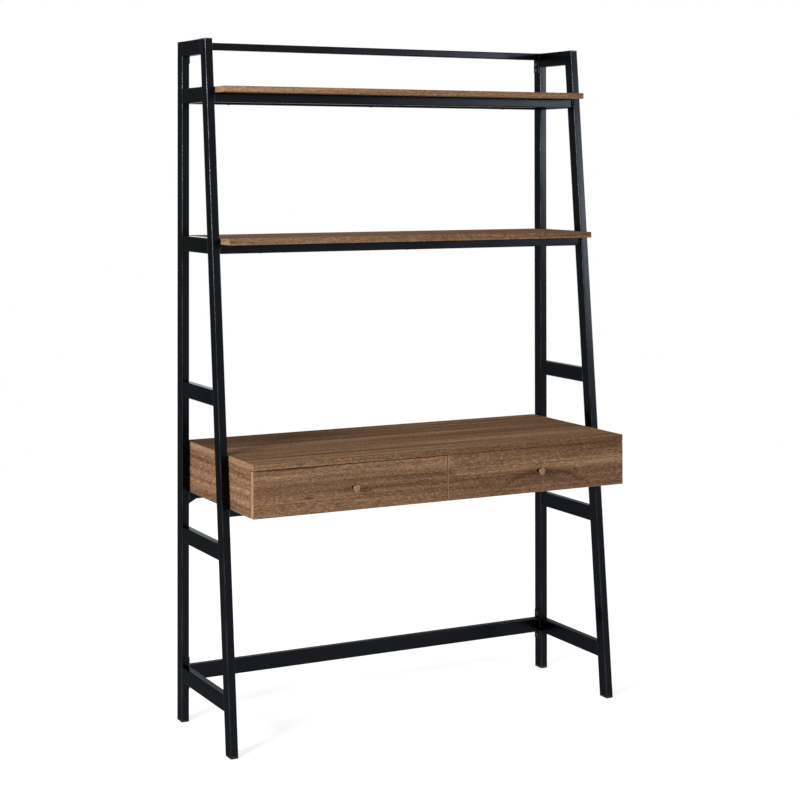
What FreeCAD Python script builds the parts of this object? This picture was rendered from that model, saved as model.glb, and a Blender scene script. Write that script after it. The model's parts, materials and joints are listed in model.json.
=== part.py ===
"""Ladder desk: two leaning steel side frames, two open shelves and a desk box with two drawers.

Frame: X runs along the width, the user sits on the -Y side, Z points up, millimetres.
The origin lies on the floor, in the middle of the width and of the overall depth.
Below, "depth" is measured forward (towards -Y) from the rear face of the rear posts.
"""
import FreeCAD, Part
import os
import Sketcher
from FreeCAD import Placement, Rotation, Vector

# Driving sizes in millimetres. Each one is a cell of the spreadsheet with the same alias.
SIZES = {
    # side frames
    "overall_height": 1829,
    "frame_width": 1180,
    "top_depth": 187,
    "floor_depth": 352,
    "tube_width": 22,
    "tube_depth": 34,
    "tube_wall": 1.5,
    "tube_corner": 1.2,
    "cap_thickness": 2,
    "glide_foot": 4,
    "glide_plug": 18,
    "plug_clearance": 0.2,
    "rung_height": 41,
    "lowest_rung_level": 108,
    "under_desk_rung_drop": 131,
    "over_desk_rung_rise": 123,
    # cross rails and their end plates
    "rail_depth": 20,
    "rail_height": 20,
    "shelf_rail_height": 25,
    "floor_rail_height": 41,
    "plate_thickness": 3,
    "plate_depth": 26,
    "top_plate_drop": 39,
    "top_bolt_drop": 12,
    "top_bolt_pitch": 18,
    "floor_plate_reach": 22,
    "floor_bolt_reach": 11,
    "shelf_bolt_drop": 9,
    "desk_plate_rise": 38,
    "desk_bolt_rise": 10,
    "desk_bolt_pitch": 18,
    "gusset_width": 30,
    "gusset_height": 16,
    # shelves
    "upper_shelf_drop": 127,
    "shelf_spacing": 396,
    "shelf_thickness": 16,
    "upper_shelf_reach": 253,
    "middle_shelf_reach": 289,
    "board_end_gap": 0.5,
    "edge_rounding": 0.8,
    # desk box
    "desk_top_level": 751,
    "desk_box_height": 136,
    "desk_reach": 430,
    "desk_top_thickness": 16,
    "side_panel_thickness": 15,
    "divider_thickness": 15,
    "floor_panel_thickness": 12,
    "back_panel_thickness": 12,
    # drawers
    "front_thickness": 16,
    "front_top_gap": 2,
    "front_middle_gap": 3,
    "front_back_gap": 2,
    "drawer_wall": 12,
    "drawer_rear_gap": 22,
    "drawer_top_gap": 19,
    "drawer_lift": 9,
    "bottom_thickness": 4,
    "bottom_groove_level": 10,
    "groove_depth": 6,
    "groove_clearance": 0.15,
    "bottom_edge_gap": 0.5,
    # drawer runners
    "runner_front_gap": 6,
    "runner_rear_gap": 24,
    "runner_height": 35,
    "runner_space": 12.7,
    "runner_steel": 1.2,
    "wall_channel_width": 9,
    "drawer_channel_offset": 3.9,
    "ball_radius": 2.4,
    "ball_clearance": 0.1,
    "ball_pitch": 20,
    "ball_offset": 6.4,
    "cage_web_offset": 2,
    "cage_steel": 0.6,
    "cage_length": 96,
    "stop_tab_width": 2.2,
    "stop_tab_height": 10,
    # knobs
    "knob_radius": 9.5,
    "knob_reach": 22,
    "knob_neck_radius": 4,
    "knob_neck_length": 7,
    "knob_flare": 8,
    "knob_rim_rounding": 2.5,
    "knob_hole_spare": 2,
    # fasteners
    "bolt_radius": 2.5,
    "bolt_length": 15,
    "bolt_head_radius": 4.75,
    "bolt_head_height": 2.75,
    "flat_head_radius": 5,
    "flat_head_height": 2.5,
    "nut_radius": 4,
    "nut_length": 12,
    "screw_radius": 2,
    "screw_bite": 10,
    "screw_head_radius": 4,
    "screw_head_height": 2.5,
    "screw_end_setback": 120,
    "small_screw_radius": 1.75,
    "small_screw_bite": 5.5,
    "small_screw_head_radius": 3.4,
    "small_screw_setback": 40,
    "knob_screw_radius": 2,
    "knob_screw_bite": 10,
    "cam_radius": 7.5,
    "cam_depth": 11,
    "drawer_cam_depth": 9.6,
    "cam_inset": 30,
    "cam_bolt_radius": 3,
    "cam_bolt_bite": 9,
    "cam_setback": 70,
    "hole_clearance": 0.1,
}

doc = FreeCAD.newDocument("LadderDesk")
sheet = doc.addObject("Spreadsheet::Sheet", "Sizes")
for row, (alias, value) in enumerate(SIZES.items(), start=1):
    sheet.set(f"A{row}", alias.replace("_", " "))
    sheet.set(f"B{row}", str(value))
    sheet.setAlias(f"B{row}", alias)
doc.recompute()


def cells(formula):
    """The formula with every word that names a size bound to its cell."""
    words = []
    word = ""
    for letter in formula + " ":
        if letter.isalnum() or letter == "_":
            word += letter
            continue
        words.append("Sizes." + word if word in SIZES else word)
        words.append(letter)
        word = ""
    return "".join(words).strip()


# Derived places, as formulas of the sizes.
REAR_Y = "((desk_reach + knob_reach) / 2)"
HALF_WIDTH = "(frame_width / 2)"
UPPER_SHELF_TOP = "(overall_height - upper_shelf_drop)"
SHELF_TOPS = {"upper_shelf": UPPER_SHELF_TOP, "middle_shelf": f"({UPPER_SHELF_TOP} - shelf_spacing)"}
POST_INSIDE = "(frame_width / 2 - tube_width)"
PLATE_INSIDE = f"({POST_INSIDE} - plate_thickness)"
BOARD_END = f"({PLATE_INSIDE} - board_end_gap)"
CAP_LEVEL = "(overall_height - cap_thickness)"
DESK_FLOOR = "(desk_top_level - desk_box_height)"
DESK_CEILING = "(desk_top_level - desk_top_thickness)"
DESK_CAVITY_FLOOR = f"({DESK_FLOOR} + floor_panel_thickness)"
CARCASS_REACH = "(desk_reach - front_thickness - front_back_gap)"
BAY_INNER = "(divider_thickness / 2)"
BAY_OUTER = f"({BOARD_END} - side_panel_thickness)"
FRONT_REAR = "(desk_reach - front_thickness)"
FRONT_MIDDLE_X = f"((front_middle_gap / 2 + {BOARD_END}) / 2)"
FRONT_MIDDLE_Z = f"(({DESK_FLOOR} + {DESK_CEILING} - front_top_gap) / 2)"
SIDE_REAR = "(back_panel_thickness + drawer_rear_gap)"
SIDE_Z = (f"({DESK_CAVITY_FLOOR} + drawer_lift)", f"({DESK_CEILING} - drawer_top_gap)")
RUNNER_MIDDLE_Z = f"(({SIDE_Z[0]} + {SIDE_Z[1]}) / 2)"
RUNNER_FRONT = f"({FRONT_REAR} - runner_front_gap)"
RUNNER_REAR = f"({SIDE_REAR} + runner_rear_gap)"
BALL_LINE = "(runner_height / 2 - runner_steel - ball_radius - ball_clearance)"

# How far a cutting tool runs past a face.
PAST = "1"

LEFT = -1
RIGHT = 1
SIDES = {"left": LEFT, "right": RIGHT}
nodes = []


def minus(formula):
    return f"(0 - ({formula}))"


def mirrored(side, near, far):
    """The span along X from near to far of the middle plane, on the given side."""
    if side == RIGHT:
        return near, far
    return minus(far), minus(near)


def front_face_depth(level):
    """Depth of the front posts' leaning front face at a level above the floor."""
    return f"(floor_depth - (floor_depth - top_depth) * ({level}) / overall_height)"


def bind(item, path, formula):
    item.setExpression(path, cells(formula))


def put(item, x, depth, z):
    """Binds the place of an object's own origin."""
    bind(item, "Placement.Base.x", x)
    bind(item, "Placement.Base.y", f"{REAR_Y} - ({depth})")
    bind(item, "Placement.Base.z", z)
    return item


def box(name, x_span, depth_span, z_span):
    """A block between two places on each axis; depths are given rear first."""
    item = doc.addObject("Part::Box", name)
    bind(item, "Length", f"{x_span[1]} - ({x_span[0]})")
    bind(item, "Width", f"{depth_span[1]} - ({depth_span[0]})")
    bind(item, "Height", f"{z_span[1]} - ({z_span[0]})")
    return put(item, x_span[0], depth_span[1], z_span[0])


TURNS = {
    "up": Rotation(),
    "right": Rotation(Vector(0, 1, 0), 90),
    "left": Rotation(Vector(0, 1, 0), -90),
    "forward": Rotation(Vector(1, 0, 0), 90),
}


def outward(side):
    return "right" if side == RIGHT else "left"


def inward(side):
    return "left" if side == RIGHT else "right"


def rod(name, radius, length, heading, x, depth, z):
    """A cylinder that starts at a place and runs in a heading."""
    item = doc.addObject("Part::Cylinder", name)
    item.Placement = Placement(Vector(), TURNS[heading])
    bind(item, "Radius", radius)
    bind(item, "Height", length)
    return put(item, x, depth, z)


def taper(name, start_radius, end_radius, length, heading, x, depth, z):
    """A cone that starts at a place and runs in a heading."""
    item = doc.addObject("Part::Cone", name)
    item.Placement = Placement(Vector(), TURNS[heading])
    bind(item, "Radius1", start_radius)
    bind(item, "Radius2", end_radius)
    bind(item, "Height", length)
    return put(item, x, depth, z)


def ball(name, radius, x, depth, z):
    item = doc.addObject("Part::Sphere", name)
    bind(item, "Radius", radius)
    return put(item, x, depth, z)


def joined(name, pieces):
    """One solid from pieces that overlap or share a face."""
    item = doc.addObject("Part::MultiFuse", name)
    item.Shapes = pieces
    item.Refine = True
    return item


def grouped(name, pieces):
    """Separate solids side by side."""
    item = doc.addObject("Part::Compound", name)
    item.Links = pieces
    return item


def cut(name, base, tools):
    """The base less all the tools."""
    if not tools:
        return base
    item = doc.addObject("Part::Cut", name)
    item.Base = base
    item.Tool = tools[0] if len(tools) == 1 else grouped(name + "_tools", tools)
    return item


def node(name, item):
    """Marks an object as a sub-part and names it."""
    item.Label = name
    nodes.append(item)
    return item


def origin_plane(body, role):
    for feature in body.Origin.OriginFeatures:
        if feature.Role == role:
            return feature
    raise ValueError(role)


def outline(body, name, role, points, lift=None):
    """A closed sketch on an origin plane whose corners are formulas from the sketch's origin."""
    sketch = body.newObject("Sketcher::SketchObject", name)
    sketch.AttachmentSupport = [(origin_plane(body, role), "")]
    sketch.MapMode = "FlatFace"
    if lift:
        bind(sketch, "AttachmentOffset.Base.z", lift)
    values = [(evaluate(across), evaluate(along)) for across, along in points]
    count = len(values)
    for index, (across, along) in enumerate(values):
        after = values[(index + 1) % count]
        sketch.addGeometry(Part.LineSegment(Vector(across, along, 0), Vector(after[0], after[1], 0)))
    for index in range(count):
        sketch.addConstraint(Sketcher.Constraint("Coincident", index, 2, (index + 1) % count, 1))
    for index, (across, along) in enumerate(points):
        pin_corner(sketch, index, "X", across, values[index][0])
        pin_corner(sketch, index, "Y", along, values[index][1])
    return sketch


def pin_corner(sketch, index, direction, formula, value):
    """Ties one corner's distance from the sketch's origin to a formula."""
    kind = "Distance" + direction
    number = sketch.addConstraint(Sketcher.Constraint(kind, -1, 1, index, 1, value))
    label = f"corner{index}{direction}"
    sketch.renameConstraint(number, label)
    bind(sketch, "Constraints." + label, formula)


def evaluate(formula):
    """A formula's value with the present sizes, for the first drawing of a sketch."""
    return float(sheet.evalExpression(cells(formula)))


def pad(body, name, sketch, length, reversed_way=False):
    item = body.newObject("PartDesign::Pad", name)
    item.Profile = sketch
    item.Reversed = reversed_way
    bind(item, "Length", length)
    body.Tip = item
    return item


def pocket(body, name, sketch, length, reversed_way=False):
    item = body.newObject("PartDesign::Pocket", name)
    item.Profile = sketch
    item.Reversed = reversed_way
    bind(item, "Length", length)
    body.Tip = item
    return item


def rounded(body, name, base, radius, picks):
    """A fillet on the base's edges that a test picks."""
    doc.recompute()
    chosen = [f"Edge{i}" for i, edge in enumerate(base.Shape.Edges, start=1) if picks(edge)]
    item = body.newObject("PartDesign::Fillet", name)
    item.Base = (base, chosen)
    bind(item, "Radius", radius)
    body.Tip = item
    return item


def runs_along(axis):
    """A test for straight edges that lean less than a tenth from an axis."""
    def test(edge):
        if edge.Curve.TypeId != "Part::GeomLine":
            return False
        return abs(edge.Curve.Direction.dot(axis)) > 0.9
    return test


def rectangle(across, along):
    return [("0", "0"), (across, "0"), (across, along), ("0", along)]


def inner_rectangle(across, along):
    wall = "tube_wall"
    return [(wall, wall), (f"{across} - {wall}", wall),
            (f"{across} - {wall}", f"{along} - {wall}"), (wall, f"{along} - {wall}")]


def tube_body(name, role, across, along, length, axis, backwards=False):
    """A straight rectangular tube with rounded outer corners, from its own origin."""
    body = doc.addObject("PartDesign::Body", name)
    outer = outline(body, name + "_outer", role, rectangle(across, along))
    solid = pad(body, name + "_length", outer, length, backwards)
    solid = rounded(body, name + "_corners", solid, "tube_corner", runs_along(axis))
    inner = outline(body, name + "_inner", role, inner_rectangle(across, along))
    pocket(body, name + "_bore", inner, length, not backwards)
    return body


def board_body(name, x_span, depth_span, z_span):
    """A flat board with slightly eased edges."""
    body = doc.addObject("PartDesign::Body", name)
    face = rectangle(f"{x_span[1]} - ({x_span[0]})", f"{depth_span[1]} - ({depth_span[0]})")
    sketch = outline(body, name + "_face", "XY_Plane", face)
    solid = pad(body, name + "_thickness", sketch, f"{z_span[1]} - ({z_span[0]})")
    rounded(body, name + "_edges", solid, "edge_rounding", lambda edge: True)
    return put(body, x_span[0], depth_span[1], z_span[0])


# ---- fasteners -------------------------------------------------------------------------------
def frame_bolt(name, side, depth, z, flat):
    """A machine bolt put in from between the side frames, through an end plate into a post."""
    face = x_at(side, PLATE_INSIDE)
    shank = rod(name + "_shank", "bolt_radius", "bolt_length", outward(side), face, depth, z)
    if flat:
        head = taper(name + "_head", "flat_head_radius", "bolt_radius", "flat_head_height",
                     outward(side), face, depth, z)
    else:
        head = rod(name + "_head", "bolt_head_radius", "bolt_head_height", inward(side), face, depth, z)
    return joined(name, [shank, head])


def plate_hole(name, side, depth, z, flat):
    """The hole in an end plate for a frame bolt, sunk where the bolt's head is flat."""
    start = x_at(side, f"{PLATE_INSIDE} - {PAST}")
    hole = rod(name + "_shank", "bolt_radius + hole_clearance", f"plate_thickness + 2 * {PAST}",
               outward(side), start, depth, z)
    if not flat:
        return hole
    sink = taper(name + "_sink", "flat_head_radius + hole_clearance", "bolt_radius + hole_clearance",
                 "flat_head_height", outward(side), x_at(side, PLATE_INSIDE), depth, z)
    return joined(name, [hole, sink])


def thread_insert(name, side, depth, z):
    """A sleeve nut set in the post's inner wall."""
    sleeve = rod(name + "_sleeve", "nut_radius", "nut_length", outward(side),
                 x_at(side, POST_INSIDE), depth, z)
    bore = rod(name + "_bore", "bolt_radius + hole_clearance", f"nut_length + 2 * {PAST}", outward(side),
               x_at(side, f"{POST_INSIDE} - {PAST}"), depth, z)
    return cut(name, sleeve, [bore])


def insert_hole(name, side, depth, z):
    return rod(name, "nut_radius + hole_clearance", f"tube_wall + 2 * {PAST}", outward(side),
               x_at(side, f"{POST_INSIDE} - {PAST}"), depth, z)


def x_at(side, distance):
    return distance if side == RIGHT else minus(distance)


# ---- side frames -----------------------------------------------------------------------------
def bolt_places():
    """Bolts of one side as (place name, depth, level, flat head, post)."""
    rear = "(tube_depth / 2)"
    places = []
    top_bolt = "(overall_height - rail_height - top_bolt_drop)"
    places.append(("top_upper", rear, top_bolt, False, "rear"))
    places.append(("top_lower", rear, f"({top_bolt} - top_bolt_pitch)", False, "rear"))
    floor_top = "(lowest_rung_level + floor_rail_height + floor_bolt_reach)"
    places.append(("floor_upper", rear, floor_top, False, "rear"))
    places.append(("floor_lower", rear, "(lowest_rung_level - floor_bolt_reach)", False, "rear"))
    for shelf in SHELF_TOPS:
        level = f"({SHELF_TOPS[shelf]} - shelf_bolt_drop)"
        places.append((shelf + "_rear", rear, level, True, "rear"))
        places.append((shelf + "_front", shelf_rail_middle(shelf), level, True, "front"))
    lower = f"({DESK_FLOOR} + desk_bolt_rise)"
    for height, level in (("lower", lower), ("upper", f"({lower} + desk_bolt_pitch)")):
        places.append((f"desk_rear_{height}", rear, level, True, "rear"))
        places.append((f"desk_front_{height}", DESK_RAIL_MIDDLE, level, True, "front"))
    return places


def shelf_rail_middle(shelf):
    """Depth of the middle of a shelf's front rail, centred in the leaning post at its plate's middle."""
    level = f"{SHELF_TOPS[shelf]} - (shelf_thickness + shelf_rail_height) / 2"
    return f"({front_face_depth(level)} - tube_depth / 2)"


DESK_PLATE_MIDDLE_Z = f"({DESK_FLOOR} + (desk_plate_rise - rail_height) / 2)"
DESK_RAIL_MIDDLE = f"({front_face_depth(DESK_PLATE_MIDDLE_Z)} - tube_depth / 2)"


def insert_holes(side, post):
    return [insert_hole(f"{place}_{post}_hole", side, depth, z)
            for place, depth, z, flat, in_post in bolt_places() if in_post == post]


def rear_post(word, side):
    name = word + "_rear_post"
    body = tube_body(name + "_tube", "XY_Plane", "tube_width", "tube_depth",
                     f"{CAP_LEVEL} - glide_foot", Vector(0, 0, 1))
    put(body, mirrored(side, POST_INSIDE, HALF_WIDTH)[0], "tube_depth", "glide_foot")
    return node(name, cut(name, body, insert_holes(side, "rear")))


def leaning_profile(inset, low, high):
    """Corners of a leaning post's side view between two levels, in the YZ plane."""
    corners = []
    for level, depth_inset in ((low, "0"), (low, "tube_depth"), (high, "tube_depth"), (high, "0")):
        shift = inset if depth_inset == "0" else minus(inset)
        depth = f"({front_face_depth(level)} - {depth_inset} - {shift})"
        corners.append((f"({REAR_Y} - {depth})", level))
    return corners


def front_post(word, side):
    name = word + "_front_post"
    low = "glide_foot"
    body = doc.addObject("PartDesign::Body", name + "_tube")
    outer = outline(body, name + "_outer", "YZ_Plane", leaning_profile("0", low, CAP_LEVEL))
    solid = pad(body, name + "_width", outer, "tube_width")
    solid = rounded(body, name + "_corners", solid, "tube_corner", runs_along(Vector(0, 0, 1)))
    bore = leaning_profile("tube_wall", low, CAP_LEVEL)
    inner = outline(body, name + "_inner", "YZ_Plane", bore, "tube_wall")
    pocket(body, name + "_bore", inner, "tube_width - 2 * tube_wall", True)
    bind(body, "Placement.Base.x", mirrored(side, POST_INSIDE, HALF_WIDTH)[0])
    return node(name, cut(name, body, insert_holes(side, "front")))


RUNGS = {
    "lowest": "lowest_rung_level",
    "under_desk": f"({DESK_FLOOR} - under_desk_rung_drop)",
    "over_desk": "(desk_top_level + over_desk_rung_rise)",
    "middle_shelf": f"({SHELF_TOPS['middle_shelf']} - rung_height)",
    "upper_shelf": f"({SHELF_TOPS['upper_shelf']} - rung_height)",
    "top": "(overall_height - rung_height)",
}


def rung_profile(level, inset):
    """Corners of a rung's side view: square at the rear post, sloped at the front post."""
    low = f"({level} + {inset})"
    high = f"({level} + rung_height - {inset})"
    corners = []
    for height, rear in ((low, True), (low, False), (high, False), (high, True)):
        depth = "tube_depth" if rear else f"({front_face_depth(height)} - tube_depth)"
        corners.append((f"({REAR_Y} - {depth})", height))
    return corners


def rung(word, side, place, level):
    name = f"{word}_{place}_rung"
    body = doc.addObject("PartDesign::Body", name)
    outer = outline(body, name + "_outer", "YZ_Plane", rung_profile(level, "0"))
    solid = pad(body, name + "_width", outer, "tube_width")
    rounded(body, name + "_corners", solid, "tube_corner", runs_along(Vector(0, 1, 0)))
    inner = outline(body, name + "_inner", "YZ_Plane", rung_profile(level, "tube_wall"), "tube_wall")
    pocket(body, name + "_bore", inner, "tube_width - 2 * tube_wall", True)
    bind(body, "Placement.Base.x", mirrored(side, POST_INSIDE, HALF_WIDTH)[0])
    return body


def post_end_depths(level):
    """Rear and front depth of both posts at a level."""
    front = front_face_depth(level)
    return {"rear": ("0", "tube_depth"), "front": (f"({front} - tube_depth)", front)}


def end_block(name, side, depth_span, z_span):
    """A block over a post's end with the tube's rounded corners."""
    body = doc.addObject("PartDesign::Body", name)
    depth = f"({depth_span[1]} - {depth_span[0]})"
    sketch = outline(body, name + "_face", "XY_Plane", rectangle("tube_width", depth))
    solid = pad(body, name + "_thickness", sketch, f"{z_span[1]} - ({z_span[0]})")
    rounded(body, name + "_corners", solid, "tube_corner", runs_along(Vector(0, 0, 1)))
    return put(body, mirrored(side, POST_INSIDE, HALF_WIDTH)[0], depth_span[1], z_span[0])


def post_caps():
    """Closing plates on the four upper tube ends."""
    caps = []
    for word, side in SIDES.items():
        for post, span in post_end_depths(CAP_LEVEL).items():
            caps.append(end_block(f"{word}_{post}_cap", side, span, (CAP_LEVEL, "overall_height")))
    return node("post_caps", grouped("post_caps", caps))


def foot_glides():
    """Plastic feet with plugs inside the four lower tube ends."""
    glides = []
    for word, side in SIDES.items():
        for post, span in post_end_depths("glide_foot").items():
            name = f"{word}_{post}_glide"
            foot = end_block(name + "_foot", side, span, ("0", "glide_foot"))
            x_span = mirrored(side, f"{POST_INSIDE} + tube_wall + plug_clearance",
                              f"{HALF_WIDTH} - tube_wall - plug_clearance")
            lean = "0" if post == "rear" else "(floor_depth - top_depth) * glide_plug / overall_height"
            plug_span = (f"({span[0]} + tube_wall + plug_clearance)",
                         f"({span[1]} - tube_wall - plug_clearance - {lean})")
            plug = box(name + "_plug", x_span, plug_span, ("glide_foot", "glide_foot + glide_plug"))
            glides.append(joined(name, [foot, plug]))
    return node("foot_glides", grouped("foot_glides", glides))


for word, side in SIDES.items():
    rear_post(word, side)
    front_post(word, side)
    node(word + "_rungs", grouped(word + "_rungs", [rung(word, side, *item) for item in RUNGS.items()]))
post_caps()
foot_glides()


# ---- cross rails -----------------------------------------------------------------------------
RAIL_SPAN = (minus(PLATE_INSIDE), PLATE_INSIDE)
RAIL_SCREW_X = {
    "left": minus(f"{PLATE_INSIDE} - screw_end_setback"),
    "middle": "0",
    "right": f"({PLATE_INSIDE} - screw_end_setback)",
}


def cross_rail(name, middle_depth, low, height, screwed):
    """A rail between the end plates, drilled where screws pass up into a board."""
    length = f"2 * {PLATE_INSIDE}"
    body = tube_body(name + "_tube", "YZ_Plane", "rail_depth", height, length, Vector(1, 0, 0))
    put(body, RAIL_SPAN[0], f"{middle_depth} + rail_depth / 2", low)
    holes = []
    if screwed:
        for place, x in RAIL_SCREW_X.items():
            if name.startswith("desk") and place == "middle":
                continue
            holes.append(rod(f"{name}_{place}_hole", "screw_radius + hole_clearance",
                             f"{height} + 2 * {PAST}", "up", x, middle_depth, f"{low} - {PAST}"))
    return node(name, cut(name, body, holes))


def end_plates(name, middle_depth, z_span, bolts):
    """A pair of plates on the inner faces of the posts, one for each end of a rail."""
    plates = []
    for word, side in SIDES.items():
        plate = box(f"{name}_{word}", mirrored(side, PLATE_INSIDE, POST_INSIDE),
                    (f"({middle_depth} - plate_depth / 2)", f"({middle_depth} + plate_depth / 2)"), z_span)
        holes = [plate_hole(f"{name}_{word}_{place}", side, depth, z, flat)
                 for place, depth, z, flat, post in bolt_places() if place in bolts]
        plates.append(cut(f"{name}_{word}_drilled", plate, holes))
    return plates


REAR_RAIL_MIDDLE = "(tube_depth / 2)"

cross_rail("top_rail", REAR_RAIL_MIDDLE, "(overall_height - rail_height)", "rail_height", False)
node("top_rail_end_plates", grouped("top_rail_end_plates", end_plates(
    "top_plate", REAR_RAIL_MIDDLE,
    ("(overall_height - rail_height - top_plate_drop)", "overall_height"), ("top_upper", "top_lower"))))

cross_rail("floor_rail", REAR_RAIL_MIDDLE, "lowest_rung_level", "floor_rail_height", False)
floor_plate_z = ("(lowest_rung_level - floor_plate_reach)",
                 "(lowest_rung_level + floor_rail_height + floor_plate_reach)")
node("floor_rail_end_plates", grouped("floor_rail_end_plates", end_plates(
    "floor_plate", REAR_RAIL_MIDDLE, floor_plate_z, ("floor_upper", "floor_lower"))))

shelf_plates = []
for shelf in SHELF_TOPS:
    rail_top = f"({SHELF_TOPS[shelf]} - shelf_thickness)"
    for end, middle in (("rear", REAR_RAIL_MIDDLE), ("front", shelf_rail_middle(shelf))):
        rail_low = f"({rail_top} - shelf_rail_height)"
        cross_rail(f"{shelf}_{end}_rail", middle, rail_low, "shelf_rail_height", True)
        shelf_plates += end_plates(f"{shelf}_{end}_plate", middle,
                                   (rail_low, f"({SHELF_TOPS[shelf]} - edge_rounding)"), (f"{shelf}_{end}",))
node("shelf_rail_end_plates", grouped("shelf_rail_end_plates", shelf_plates))

desk_plates = []
for end, middle in (("rear", REAR_RAIL_MIDDLE), ("front", DESK_RAIL_MIDDLE)):
    cross_rail(f"desk_{end}_rail", middle, f"({DESK_FLOOR} - rail_height)", "rail_height", True)
    desk_plates += end_plates(f"desk_{end}_plate", middle,
                              (f"({DESK_FLOOR} - rail_height)", f"({DESK_FLOOR} + desk_plate_rise)"),
                              (f"desk_{end}_lower", f"desk_{end}_upper"))
node("desk_rail_end_plates", grouped("desk_rail_end_plates", desk_plates))


def gusset(word, side):
    """A triangular web under the rear desk rail, against its end plate."""
    name = word + "_gusset"
    body = doc.addObject("PartDesign::Body", name)
    foot = f"({DESK_FLOOR} - rail_height)"
    corners = [(x_at(side, POST_INSIDE), foot),
               (x_at(side, f"({POST_INSIDE} - gusset_width)"), foot),
               (x_at(side, POST_INSIDE), f"({foot} - gusset_height)")]
    sketch = outline(body, name + "_face", "XZ_Plane", corners)
    pad(body, name + "_thickness", sketch, "plate_thickness")
    bind(body, "Placement.Base.y", f"{REAR_Y} - {REAR_RAIL_MIDDLE} + plate_thickness / 2")
    return body


node("desk_rail_gussets", grouped("desk_rail_gussets", [gusset(*item) for item in SIDES.items()]))

button_bolts = []
flat_bolts = []
inserts = []
for word, side in SIDES.items():
    for place, depth, z, flat, post in bolt_places():
        made = frame_bolt(f"{word}_{place}_bolt", side, depth, z, flat)
        (flat_bolts if flat else button_bolts).append(made)
        inserts.append(thread_insert(f"{word}_{place}_insert", side, depth, z))
node("button_head_bolts", grouped("button_head_bolts", button_bolts))
node("flat_head_bolts", grouped("flat_head_bolts", flat_bolts))
node("thread_inserts", grouped("thread_inserts", inserts))


# ---- shelves ---------------------------------------------------------------------------------
def board_screw(name, x, depth, board_low, height):
    """A screw from under a rail of some height up into the board that lies on it."""
    rail_low = f"({board_low} - {height})"
    head = rod(name + "_head", "screw_head_radius", "screw_head_height", "up",
               x, depth, f"{rail_low} - screw_head_height")
    shank = rod(name + "_shank", "screw_radius", f"{height} + screw_bite", "up", x, depth, rail_low)
    return joined(name, [head, shank])


def pilot_hole(name, x, depth, board_low):
    return rod(name, "screw_radius + hole_clearance", f"screw_bite + hole_clearance + {PAST}", "up",
               x, depth, f"{board_low} - {PAST}")


board_screws = []
for shelf in SHELF_TOPS:
    underside = f"({SHELF_TOPS[shelf]} - shelf_thickness)"
    board = board_body(shelf + "_board", (minus(BOARD_END), BOARD_END), ("0", f"{shelf}_reach"),
                       (underside, SHELF_TOPS[shelf]))
    holes = []
    for end, middle in (("rear", REAR_RAIL_MIDDLE), ("front", shelf_rail_middle(shelf))):
        for place, x in RAIL_SCREW_X.items():
            name = f"{shelf}_{end}_{place}"
            board_screws.append(board_screw(name + "_screw", x, middle, underside, "shelf_rail_height"))
            holes.append(pilot_hole(name + "_pilot", x, middle, underside))
    node(shelf, cut(shelf, board, holes))

# ---- desk box --------------------------------------------------------------------------------
floor_holes = []
for end, middle in (("rear", REAR_RAIL_MIDDLE), ("front", DESK_RAIL_MIDDLE)):
    for word, side in SIDES.items():
        name = f"desk_{end}_{word}"
        x = RAIL_SCREW_X[word]
        board_screws.append(board_screw(name + "_screw", x, middle, DESK_FLOOR, "rail_height"))
        floor_holes.append(pilot_hole(name + "_pilot", x, middle, DESK_FLOOR))
node("board_screws", grouped("board_screws", board_screws))

UPRIGHTS = {
    "desk_left_panel": (minus(BOARD_END), minus(BAY_OUTER), RIGHT),
    "desk_divider": (minus(BAY_INNER), BAY_INNER, RIGHT),
    "desk_right_panel": (BAY_OUTER, BOARD_END, LEFT),
}
CAM_DEPTHS = {"rear": "cam_setback", "front": f"({CARCASS_REACH} - cam_setback)"}
SMALL_SCREW_DEPTHS = {
    "rear": f"({RUNNER_REAR} + small_screw_setback)",
    "front": f"({RUNNER_FRONT} - small_screw_setback)",
}


def cam_fitting(name, side, face, depth, joint_level, up, tool):
    """A cam disc in a panel's face and its bolt into the next panel; as a tool it has clearance."""
    gap = "hole_clearance" if tool else "0"
    level = f"({joint_level} - cam_inset)" if up else f"({joint_level} + cam_inset)"
    low = level if up else f"({joint_level} - cam_bolt_bite - {gap})"
    length = f"cam_inset - cam_radius + cam_bolt_bite"
    middle = f"({face} - {'1' if side == RIGHT else '(0 - 1)'} * cam_depth / 2)"
    disc = rod(name + "_disc", f"cam_radius + {gap}", f"cam_depth + {gap}", inward(side),
               face, depth, level)
    start = f"({level} + cam_radius)" if up else f"({joint_level} - cam_bolt_bite)"
    if tool:
        start = f"({level})" if up else f"({joint_level} - cam_bolt_bite - hole_clearance)"
        length = "cam_inset + cam_bolt_bite + hole_clearance"
    bolt = rod(name + "_bolt", f"cam_bolt_radius + {gap}", length, "up", middle, depth, start)
    return [disc, bolt]


desk_cams = []
top_tools = []
floor_tools = list(floor_holes)
upright_tools = {name: [] for name in UPRIGHTS}
JOINTS = (("top", DESK_CEILING, True, top_tools), ("floor", DESK_CAVITY_FLOOR, False, floor_tools))
for name, (low_x, high_x, cam_side) in UPRIGHTS.items():
    face = high_x if cam_side == RIGHT else low_x
    for end, depth in CAM_DEPTHS.items():
        for joint, level, up, panel_tools in JOINTS:
            place = (cam_side, face, depth, level, up)
            desk_cams += cam_fitting(f"{name}_{end}_{joint}_cam", *place, False)
            tools = cam_fitting(f"{name}_{end}_{joint}_cut", *place, True)
            upright_tools[name] += tools
            panel_tools.append(tools[1])
node("desk_cam_fittings", grouped("desk_cam_fittings", desk_cams))


# ---- drawer runners --------------------------------------------------------------------------
def from_wall(wall, heading, near, far):
    """Span along the half-width from a bay wall, nearest and furthest distance from that wall."""
    if heading == RIGHT:
        return f"({wall} + {near})", f"({wall} + {far})"
    return f"({wall} - ({far}))", f"({wall} - ({near}))"


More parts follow.
